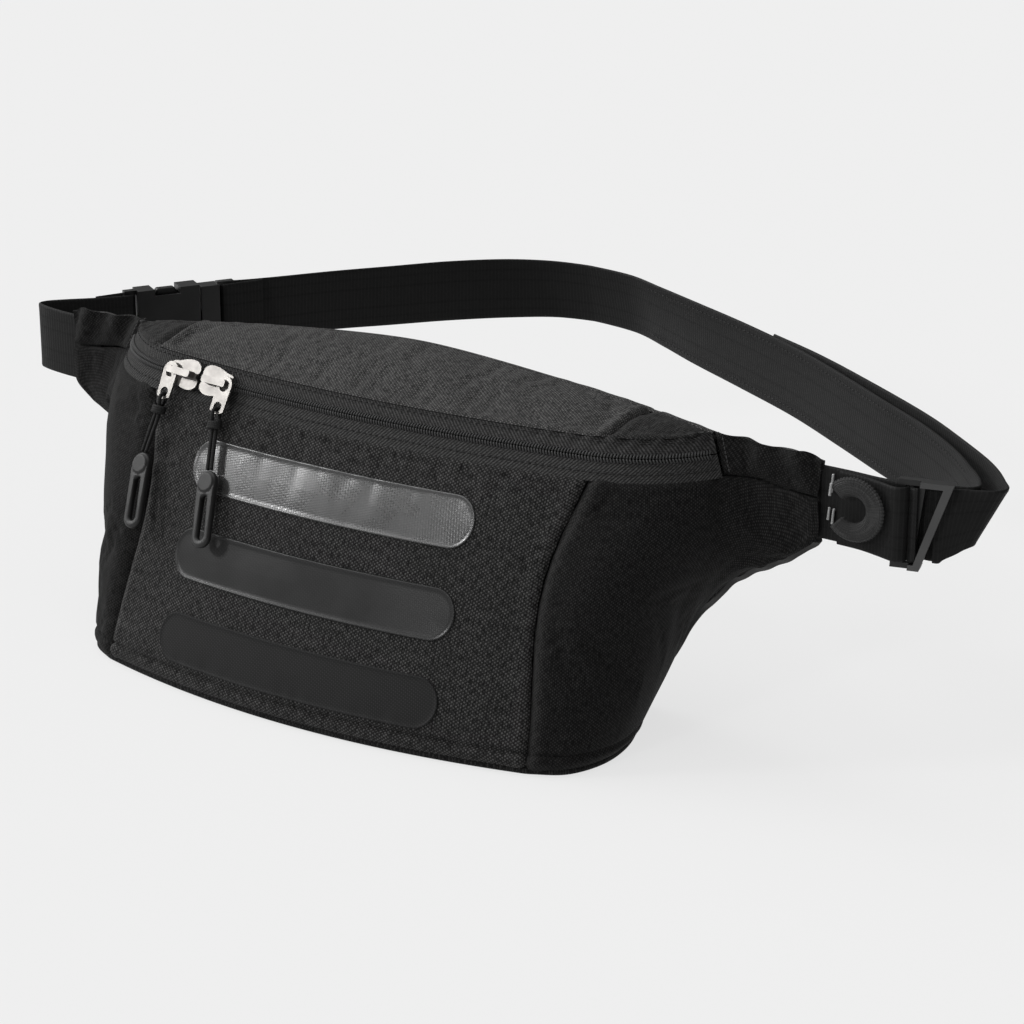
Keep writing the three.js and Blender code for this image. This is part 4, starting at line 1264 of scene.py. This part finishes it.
def on_adjuster(a, b):
    return turned(ADJUSTER, ADJUSTER_HEADING, a, b)


def turn(centre, radius, start, stop, count):
    """Points of an arc in plan, between two headings in degrees."""
    angles = [math.radians(mix(start, stop, i / count)) for i in range(count + 1)]
    return [[centre[0] + radius * math.cos(a), centre[1] + radius * math.sin(a)] for a in angles]


def upright(plan):
    """The two edges of webbing that stands straight up on a route in plan."""
    return [[x, y, WEB_TOP] for x, y in plan], [[x, y, WEB_TOP - WEB_WIDTH] for x, y in plan]


def leaning(route):
    """The two edges of webbing on a route of x, y and how far its lower edge leans out."""
    top = [[x, y, WEB_TOP] for x, y, _ in route]
    bottom = []
    for i, (x, y, lean) in enumerate(route):
        a = route[max(0, i - 1)]
        b = route[min(len(route) - 1, i + 1)]
        run = math.hypot(b[0] - a[0], b[1] - a[1])
        drop = math.sqrt(WEB_WIDTH ** 2 - lean ** 2)
        bottom.append([x + lean * (b[1] - a[1]) / run, y - lean * (b[0] - a[0]) / run, WEB_TOP - drop])
    return top, bottom


LEFT_ROUTE = [
    [-165, 147.5, -3], [-147, 173, -4], [-128, 197, -3], [-108, 222, -2], [-85, 242, -3],
    [-64, 251.5, -6], [-45.6, 254, -7],
]
RIGHT_ROUTE = [
    [-44.4, 254, -7], [-18, 250, -6], [6, 239, -4], [32, 226.5, -1], [75, 205, 2], [116, 181.5, 3],
    [155, 154.5, 3.5], [183, 134, 3.5], [212, 113, 3.5], [238, 89.6, 4], [250, 76.2, 6],
    [257.7, 67.4, 9], [262.9, 60, 12],
]
TAIL_ROUTE = [
    [93, 198, 3], [125, 181, 3], [163, 157, 3.5], [208, 126, 3.5], [231, 107, 4], [255, 85.5, 9],
    [264, 75.5, 12], [271, 66, 15],
]


def even(top, bottom, count):
    """The two edge curves at count stations, spread evenly along the strap."""
    upper = Curve(top).many(steps(count * 4))
    lower = Curve(bottom).many(steps(count * 4))
    run = run_of((upper + lower) / 2)
    places = np.linspace(0, run[-1], count)
    return between(places, run, upper), between(places, run, lower)


def webbing():
    """Both wings' webbing, the belt and its tail. Returns the belt's two edges."""
    degrees = math.degrees(BUCKLE_HEADING)
    left = [[-186, 42.8], [-201, 43], [-214, 44.4], [-225, 46.8], [-230, 49.4], [-229.4, 53], [-224, 59.4],
            along_buckle(-16, 0.6), along_buckle(-6, 2.2)]
    left += turn(along_buckle(0.7, 0), 2.9, degrees - 90, degrees + 90, 6)
    left += [along_buckle(-6, -2.4), along_buckle(-15, -1.6)]
    settle(strap("wing_strap_left", *even(*upright(left), 170)), "bag", "wing_webbing_left")

    right = [[186, 42.8], [201, 43], [214, 42.6], [226, 41.6]]
    right += turn(ADJUSTER, 3.6, 100, -86, 7)
    right += [[230, 36.8], [221, 39.2], [210, 40.2]]
    settle(strap("wing_strap_right", *even(*upright(right), 130)), "bag", "wing_webbing_right")

    # The belt is one strap from the male half of the buckle to the adjuster's middle bar.
    start = [along_buckle(MALE_BAR + 16, 2.1), along_buckle(MALE_BAR + 7, 2.5)]
    start += turn(along_buckle(MALE_BAR - 2.6, 0), 2.9, degrees - 90, degrees - 270, 6)
    start.append(along_buckle(MALE_BAR + 7, -1.2))
    top, bottom = upright(start)
    for route in (LEFT_ROUTE, RIGHT_ROUTE):
        upper, lower = leaning(route)
        top, bottom = top + upper, bottom + lower
    top += [[265.2, 54, WEB_TOP], [262.5, 50.6, WEB_TOP], [257.5, 48.6, WEB_TOP]]
    bottom += [[256.5, 48.2, 101.5], [254.5, 46.8, 100], [252.8, 46.4, 97.8]]
    inside = [on_adjuster(14.6, 2.9), on_adjuster(10.6, 2.9)]
    lean = math.degrees(ADJUSTER_HEADING)
    inside += turn(on_adjuster(MIDDLE_BAR, 0.6), 2.8, lean + 80, lean + 280, 7)
    upper, lower = upright(inside)
    edges = even(top + upper, bottom + lower, 520)
    obj = strap("belt_strap", *edges)
    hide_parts("belt_left", "belt_right")
    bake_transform(obj)

    # The tail comes back out of the adjuster and lies behind the belt.
    outside_top, outside_bottom = leaning(TAIL_ROUTE)
    fold_top = [[275.3, 59.8, WEB_TOP], [276, 56.4, WEB_TOP], [273, 52, WEB_TOP], [267, 49, WEB_TOP],
                [258.6, 45.4, WEB_TOP]]
    fold_bottom = [[264.4, 51.4, 103], [266, 48.2, 104.2], [264.5, 45.4, 103.4], [261, 44.2, 100.8],
                   [256, 43, 97.6]]
    end_top, end_bottom = upright([on_adjuster(17, 0.6), on_adjuster(14.4, 0.3)])
    tail = even(outside_top + fold_top + end_top, outside_bottom + fold_bottom + end_bottom, 260)
    settle(strap("belt_tail_strap", *tail), "belt_right_half", "belt_tail")
    return edges


BELT_EDGES = webbing()
plastic_fittings()


# ---------------------------------------------------------------- bottom, back and lining
def ringed(name, rings, material, close_high=True):
    """A surface through rings of the same number of points, closed at its low end."""
    count = len(rings[0])
    faces = ring_faces(len(rings), count)
    faces.append(list(range(count))[::-1])
    if close_high:
        faces.append([(len(rings) - 1) * count + k for k in range(count)])
    points = np.concatenate(rings)
    obj = mesh_object(name, points, faces, [material], sharp=60)
    set_cloth(obj, points)
    return obj


def inset(outline, distance):
    """A closed outline moved inwards."""
    tangent = unit(np.roll(outline, -1, 0) - np.roll(outline, 1, 0))
    return outline + np.stack([-tangent[:, 1], tangent[:, 0]], 1) * distance


def bottom_panel():
    x = np.linspace(-CORNER_X, CORNER_X, 90)
    front = np.stack([x, FRONT_Y + x * x / FRONT_BOW], 1)
    side = SIDE_FOOT.many(steps(46))[1:, :2]
    rear_x = side[-1, 0] * np.linspace(1, -1, 60)[1:-1]
    back = np.stack([rear_x, np.full_like(rear_x, BACK_FRONT - GAP)], 1)
    left = (side * arr(-1, 1))[::-1]
    outline = np.concatenate([front, side, back, left])
    # How far in the edge lies at each height, from the top down.
    profile = ((2.6, 3.4), (0.9, 3.3), (0.3, 2.4), (0.3, 1.4), (0.8, 0.5), (1.8, 0.1), (3.5, 0.0))
    rings = []
    for distance, z in profile:
        loop = inset(outline, distance)
        rings.append(np.column_stack([loop, np.full(len(loop), z)]))
    settle(ringed("bottom_panel_fabric", rings[::-1], CANVAS_SIDE), "bag", "bottom_panel")


BACK_CHANNEL_X = 62.0
BACK_WING_X = 121.0


def back_panel():
    """Padded air mesh, with a sewn channel on either side and a seam where each wing begins."""
    grid = blown_grid("back", 281, 121)
    d = Edges(grid)
    x = grid[..., 0]
    height = -1.6 * dip(d.nearest, 1.6)
    for side in (-1, 1):
        height -= 2.2 * hump(x, side * BACK_CHANNEL_X, 2.0) * (1 - dip(np.minimum(d.low, d.high), 8))
        height -= 1.8 * hump(x, side * BACK_WING_X, 1.6)
    obj = panel("back_panel_padding", relief(grid, height), 3.0, MESH, MESH)
    settle(obj, "bag", "back_panel")


def lining():
    """An open-topped bucket of thin cloth with slack folds, just inside the panels."""
    count = 180
    angle = np.linspace(0, 2 * math.pi, count, endpoint=False)
    rings = []
    for v in steps(26):
        z = mix(BASE_T + 1.0, 112, v)
        share = (z - WALL_Z) / (118.6 - WALL_Z)
        half = mix(103, 100.5, share)
        back = BACK_FRONT - 3.6
        front = front_point(0, share)[1] + 3.8
        cx, sy = np.cos(angle), np.sin(angle)
        x = half * np.sign(cx) * np.abs(cx) ** 0.3
        bow = x * x / FRONT_BOW * (sy < 0)
        y = (front + back) / 2 + (back - front) / 2 * np.sign(sy) * np.abs(sy) ** 0.3 + bow
        loop = np.stack([x, y, np.full(count, z)], 1)
        slack = 1.2 * math.sin(math.pi * v) * (1 + np.sin(angle * 17 + 3 * v) * np.sin(angle * 5))
        middle = arr(0, (front + back) / 2, z)
        rings.append(loop + unit(middle - loop) * (slack[:, None] + 0.3))
    floor = rings[0]
    middle = floor.mean(0)
    shrunk = [mix(middle, floor, s) + arr(0, 0, 0.6) for s in (0.02, 0.3, 0.6, 0.85, 0.97)]
    settle(ringed("lining_cloth", shrunk + rings, LINING, close_high=False), "bag", "lining")


def lid_hinge():
    """The fabric that the lid turns on: from the lid's rear edge down onto the back panel."""
    x = np.linspace(-150, 150, 121)
    tip = np.minimum(rear_z(x), back_high(x) + 4)
    profile = ((40.0, -1.2), (41.2, -0.7), (42.6, -0.9), (44.2, -1.6), (45.8, -3.0), (46.8, -5.5))
    grid = np.stack([np.stack([x, np.full_like(x, y), tip + z], 1) for y, z in profile], 1)
    grid = refine(grid, 241, 21)
    obj = panel("lid_hinge_fabric", grid, 1.0, CANVAS_TOP_PAINTED_SHEEN, LINING)
    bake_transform(obj)


bottom_panel()
back_panel()
lining()
lid_hinge()


# ---------------------------------------------------------------- pulls, ribbon loop
SLIDER_PEG = 7.6
TAB_MID = 5.3
TAB_BAR = -13.4
CORD_R = 0.9
LOOP_R = 2.0
LOOP_INNER = 6.4
LOOP_OUTER = 13.0
LOOP_MIDDLE = (220.5, 115.4)
LOOP_FRONT_Y = 32.4
GRIP_TOP = -39.4
GRIP_LOW = -74.0
# Where each slider stands, how its cord swings and how its grip hangs from the cord, in degrees.
PULLS = {"left": (-94.6, 2, -14), "right": (-76, 14, 0)}


def on_chain(x):
    """From a slider's own frame to the bag: a left slider is mirrored."""
    at, along, up, out = (a[0] for a in zip_frame(math.copysign(float(share_at(abs(x))), x)))
    mirror = -1 if x < -90 else 1
    return lambda p: at + along * p[0] * mirror + up * p[1] + out * p[2]


def hanging(x, swing):
    """The place of a point of a pull: its own frame, swung about the tab's bar, on the chain."""
    put = on_chain(x)
    origin = (SLIDER_PEG, TAB_BAR)
    return lambda p: put((*turned(origin, math.radians(swing), p[0] - origin[0], p[1] - origin[1]), p[2]))


def strand(s):
    """One strand of a pull's cord, from the grip up to the tab's bar. s is 1 or -1."""
    peg, mid = SLIDER_PEG, TAB_MID
    return [
        (peg - 1.1 * s, GRIP_TOP + GAP, mid), (peg - 1.1 * s, -31, mid), (peg - 1.05 * s, -22.5, mid),
        (peg - 0.8 * s, -18.6, mid + 0.5 * s), (peg - 0.5 * s, -16, mid + 1.7 * s),
        (peg - 0.2 * s, TAB_BAR, mid + LOOP_R * s),
        (peg - 0.1 * s, TAB_BAR + LOOP_R * math.sqrt(0.5), mid + LOOP_R * math.sqrt(0.5) * s),
    ]


def pull_cord(side, x, swing):
    """A doubled cord through the tab, with a wrap that holds its strands together."""
    place = hanging(x, swing)
    peg, mid = SLIDER_PEG, TAB_MID
    route = strand(1) + [(peg, TAB_BAR + LOOP_R, mid)] + strand(-1)[::-1]
    path = np.array([place(p) for p in Curve(route).many(steps(110))])
    obj = tube(f"pull_cord_{side}_braid", path, CORD_R, CORD, around=12)
    helix = []
    for share in steps(97):
        a = 2 * math.pi * 3.1 * share
        helix.append(place((peg + 3.0 * math.cos(a), -20.2 + 3.0 * share, mid + 1.9 * math.sin(a))))
    wrap = tube(f"pull_cord_{side}_wrap", helix, 0.85, CORD, around=10)
    settle(obj, f"pull_{side}", f"pull_cord_{side}")
    settle(wrap, f"pull_{side}")
    length = float(run_of(path)[-1]) * MM


def pill(middle, low, high, radius):
    """Points round an upright pill outline, with the same count on every part."""
    points = []
    for side, start, stop in ((1, low + radius, high - radius), (-1, high - radius, low + radius)):
        points += [(middle + side * radius, y) for y in np.linspace(start, stop, 30)[:-1]]
        for a in np.linspace(0, math.pi, 25)[:-1]:
            points.append((middle + side * radius * math.cos(a), stop + side * radius * math.sin(a)))
    return np.array(points)


def pull_grip(side, x, swing, hang):
    """A rubber grip with a rounded edge all round, a long slot and a plain round boss."""
    peg, mid = SLIDER_PEG, TAB_MID
    outer = pill(peg, GRIP_LOW, GRIP_TOP, 5.0)
    inner = pill(peg, GRIP_LOW + 3.6, GRIP_TOP - 11.4, 1.75)
    width = np.linalg.norm(outer - inner, axis=1)
    half, edge = 1.7, 1.5
    near = (0, 0.06, 0.2, 0.42, 0.72, 1.1, edge)
    rings = [step / width for step in near]
    rings += [mix(edge / width, 1 - edge / width, share) for share in steps(22)[1:-1]]
    rings += [1 - step / width for step in near[::-1]]
    shares = np.array(rings)[..., None]
    flat = mix(inner[None], outer[None], shares)
    close = np.minimum(shares[..., 0], 1 - shares[..., 0]) * width
    depth = np.sqrt(np.maximum(0, edge ** 2 - np.maximum(0, edge - close) ** 2))
    height = half - edge + depth
    far = np.hypot(flat[..., 0] - peg, flat[..., 1] - (GRIP_TOP - 5.4))
    boss = 0.55 * (1 - np.clip((far - 3.9) / 0.5, 0, 1)) - 0.25 * hump(far, 4.7, 0.35)
    put = hanging(x, swing)
    turn_point = (peg, GRIP_TOP)

    def place(p, h):
        a, b = turned(turn_point, math.radians(hang), p[0] - turn_point[0], p[1] - turn_point[1])
        return put((a, b, mid + h))

    count = len(outer)
    sheets = []
    for rise in (height + boss, -height):
        sheets.append([place(flat[i, k], rise[i, k]) for i in range(len(rings)) for k in range(count)])
    points = sheets[0] + sheets[1]
    half_count = len(sheets[0])
    faces = []
    for k in range(count):
        m = (k + 1) % count
        for i in range(len(rings) - 1):
            a, b = i * count + k, i * count + m
            faces.append([a, a + count, b + count, b])
            c, d = a + half_count, b + half_count
            faces.append([c, d, d + count, c + count])
        last = (len(rings) - 1) * count
        faces.append([k, m, m + half_count, k + half_count])
        faces.append([last + k, last + k + half_count, last + m + half_count, last + m])
    if side == "left":
        faces = [face[::-1] for face in faces]
    obj = mesh_object(f"pull_grip_{side}_rubber", points, faces, [RUBBER])
    settle(obj, f"pull_{side}", f"pull_grip_{side}")


def ribbon_loop():
    """A C of ribbed ribbon that lies on the wing's webbing, open towards the wing."""
    opening = math.radians(42)
    angle = np.linspace(-math.pi + opening, math.pi - opening, 321)[:, None]
    radius = np.linspace(LOOP_INNER, LOOP_OUTER, 15)[None, :]
    x = LOOP_MIDDLE[0] + radius * np.cos(angle)
    z = LOOP_MIDDLE[1] + radius * np.sin(angle)
    edge = np.minimum(radius - LOOP_INNER, LOOP_OUTER - radius)
    ribs = 0.28 * np.sin(angle * 9.0 * 2 * math.pi) * (1 - dip(edge, 0.5))
    y = LOOP_FRONT_Y + 0.8 * dip(edge, 0.45) - ribs
    grid = np.stack([x, y + 0 * x, z], -1)
    settle(panel("ribbon_loop_woven", grid, 1.1, RIBBON, RIBBON), "bag", "ribbon_loop")


def bar_tacks():
    """Two pairs of bright bar tacks that hold the ribbon loop to the right wing's webbing."""
    tacks = ((206.6, 125.6, 117.4), (210.8, 125.4, 119.4), (205.4, 111.0, 105.4), (207.4, 110.8, 103.6))
    for number, (x, high, low) in enumerate(tacks):
        front = 41.2 if number != 1 else 31.4
        path = np.array([[mix(x, x - 0.6, t), front, mix(high, low, t)] for t in steps(12)])
        out = np.tile(arr(0, -1, 0), (12, 1))
        row = stitches(f"bar_tack_{number + 1}", path, out, BRIGHT_THREAD, pitch=0.62, length=0.6,
                       width=1.2, rise=0.32)
        settle(row, "bag")


def zip_end_seams():
    """The vertical seam with a row of stitches where each wing begins beside the zip's end."""
    grid = wing_top()
    at = int(np.argmin(np.abs(lengths(grid, 0)[:, grid.shape[1] // 2] - 3.2)))
    path = grid[at, 2:-2]
    out = normals_of(grid)[at, 2:-2]
    for name, side in (("right", 1), ("left", -1)):
        flip = arr(side, 1, 1)
        row = stitches(f"zip_end_stitches_{name}", path * flip, out * flip, THREAD, pitch=1.9, length=1.5,
                       width=0.5, rise=0.25)
        settle(row, "bag")


def belt_stitches():
    """Rows of small stitches near the belt's edges, on the face towards the bag."""
    top, bottom = BELT_EDGES
    reach = (top[:, 0] > -5) & (np.arange(len(top)) > len(top) // 3) & (top[:, 1] > 75)
    rows = np.nonzero(reach)[0]
    for name, w in (("upper", 0.11), ("lower", 0.89)):
        path, out = along_strap(top[rows], bottom[rows], w, -1)
        row = stitches(f"belt_stitches_{name}", path, out, DARK_THREAD, pitch=3.4, length=2.0, width=0.5)
        settle(row, "belt_right_half")


bar_tacks()
zip_end_seams()
belt_stitches()
for pull_side, (pull_x, pull_swing, pull_hang) in PULLS.items():
    pull_cord(pull_side, pull_x, pull_swing)
    pull_grip(pull_side, pull_x, pull_swing, pull_hang)
ribbon_loop()

# ---------------------------------------------------------------- camera, light and floor
CAMERA_AZIMUTH = 33.4965
CAMERA_ELEVATION = 19.7866
CAMERA_LENS = 105.47
CAMERA_AT = (734.51, -993.883, 524.418)
WORLD_STRENGTH = 0.25
FLOOR_HALF = 60000


def direction_of(azimuth, elevation):
    """From the bag outwards. Azimuth 0 stands in front of the bag, and rises to the viewer's right."""
    a, e = math.radians(azimuth), math.radians(elevation)
    return Vector((math.sin(a) * math.cos(e), -math.cos(a) * math.cos(e), math.sin(e)))


def camera():
    data = bpy.data.cameras.new("camera")
    data.sensor_width = 36
    data.lens = CAMERA_LENS
    obj = link(bpy.data.objects.new("camera", data))
    back = direction_of(CAMERA_AZIMUTH, CAMERA_ELEVATION)
    right = Vector((0, 0, 1)).cross(back).normalized()
    matrix = Matrix((right, back.cross(right), back)).transposed().to_4x4()
    matrix.translation = Vector(CAMERA_AT) * MM
    obj.matrix_world = matrix
    bpy.context.scene.camera = obj


def sun(name, azimuth, elevation, strength, spread):
    """A distant soft light."""
    data = bpy.data.lights.new(name, "SUN")
    data.energy = strength
    data.angle = math.radians(spread)
    obj = link(bpy.data.objects.new(name, data))
    obj.rotation_euler = direction_of(azimuth, elevation).to_track_quat("Z", "Y").to_euler()


def studio():
    scene = bpy.context.scene
    scene.view_settings.view_transform = "Standard"
    world = bpy.data.worlds.new("studio")
    scene.world = world
    world.use_nodes = True
    background = world.node_tree.nodes["Background"]
    background.inputs["Color"].default_value = (1, 1, 1, 1)
    background.inputs["Strength"].default_value = WORLD_STRENGTH
    sun("overhead", -60, 74, 1.55, 70)
    sun("left", -88, 34, 1.75, 45)
    sun("gloss_left", -56, 28, 1.1, 9)
    sun("gloss_right", -8, 25, 0.75, 9)
    s = Shader("floor", Roughness=0.9, Specular_IOR_Level=0.0, Emission_Strength=0.706,
               Emission_Color=(1, 1, 1, 1))
    where = s.node("ShaderNodeTexCoord").outputs["Object"]
    s.put("Base Color", s.colours(s.noise(where, 0.8, 1.0), grey(0.118), grey(0.122)))
    corners = [(FLOOR_HALF * x, FLOOR_HALF * y, 0) for x, y in ((-1, -1), (1, -1), (1, 1), (-1, 1))]
    mesh_object("floor", corners, [(0, 1, 2, 3)], [s.material])


camera()
studio()
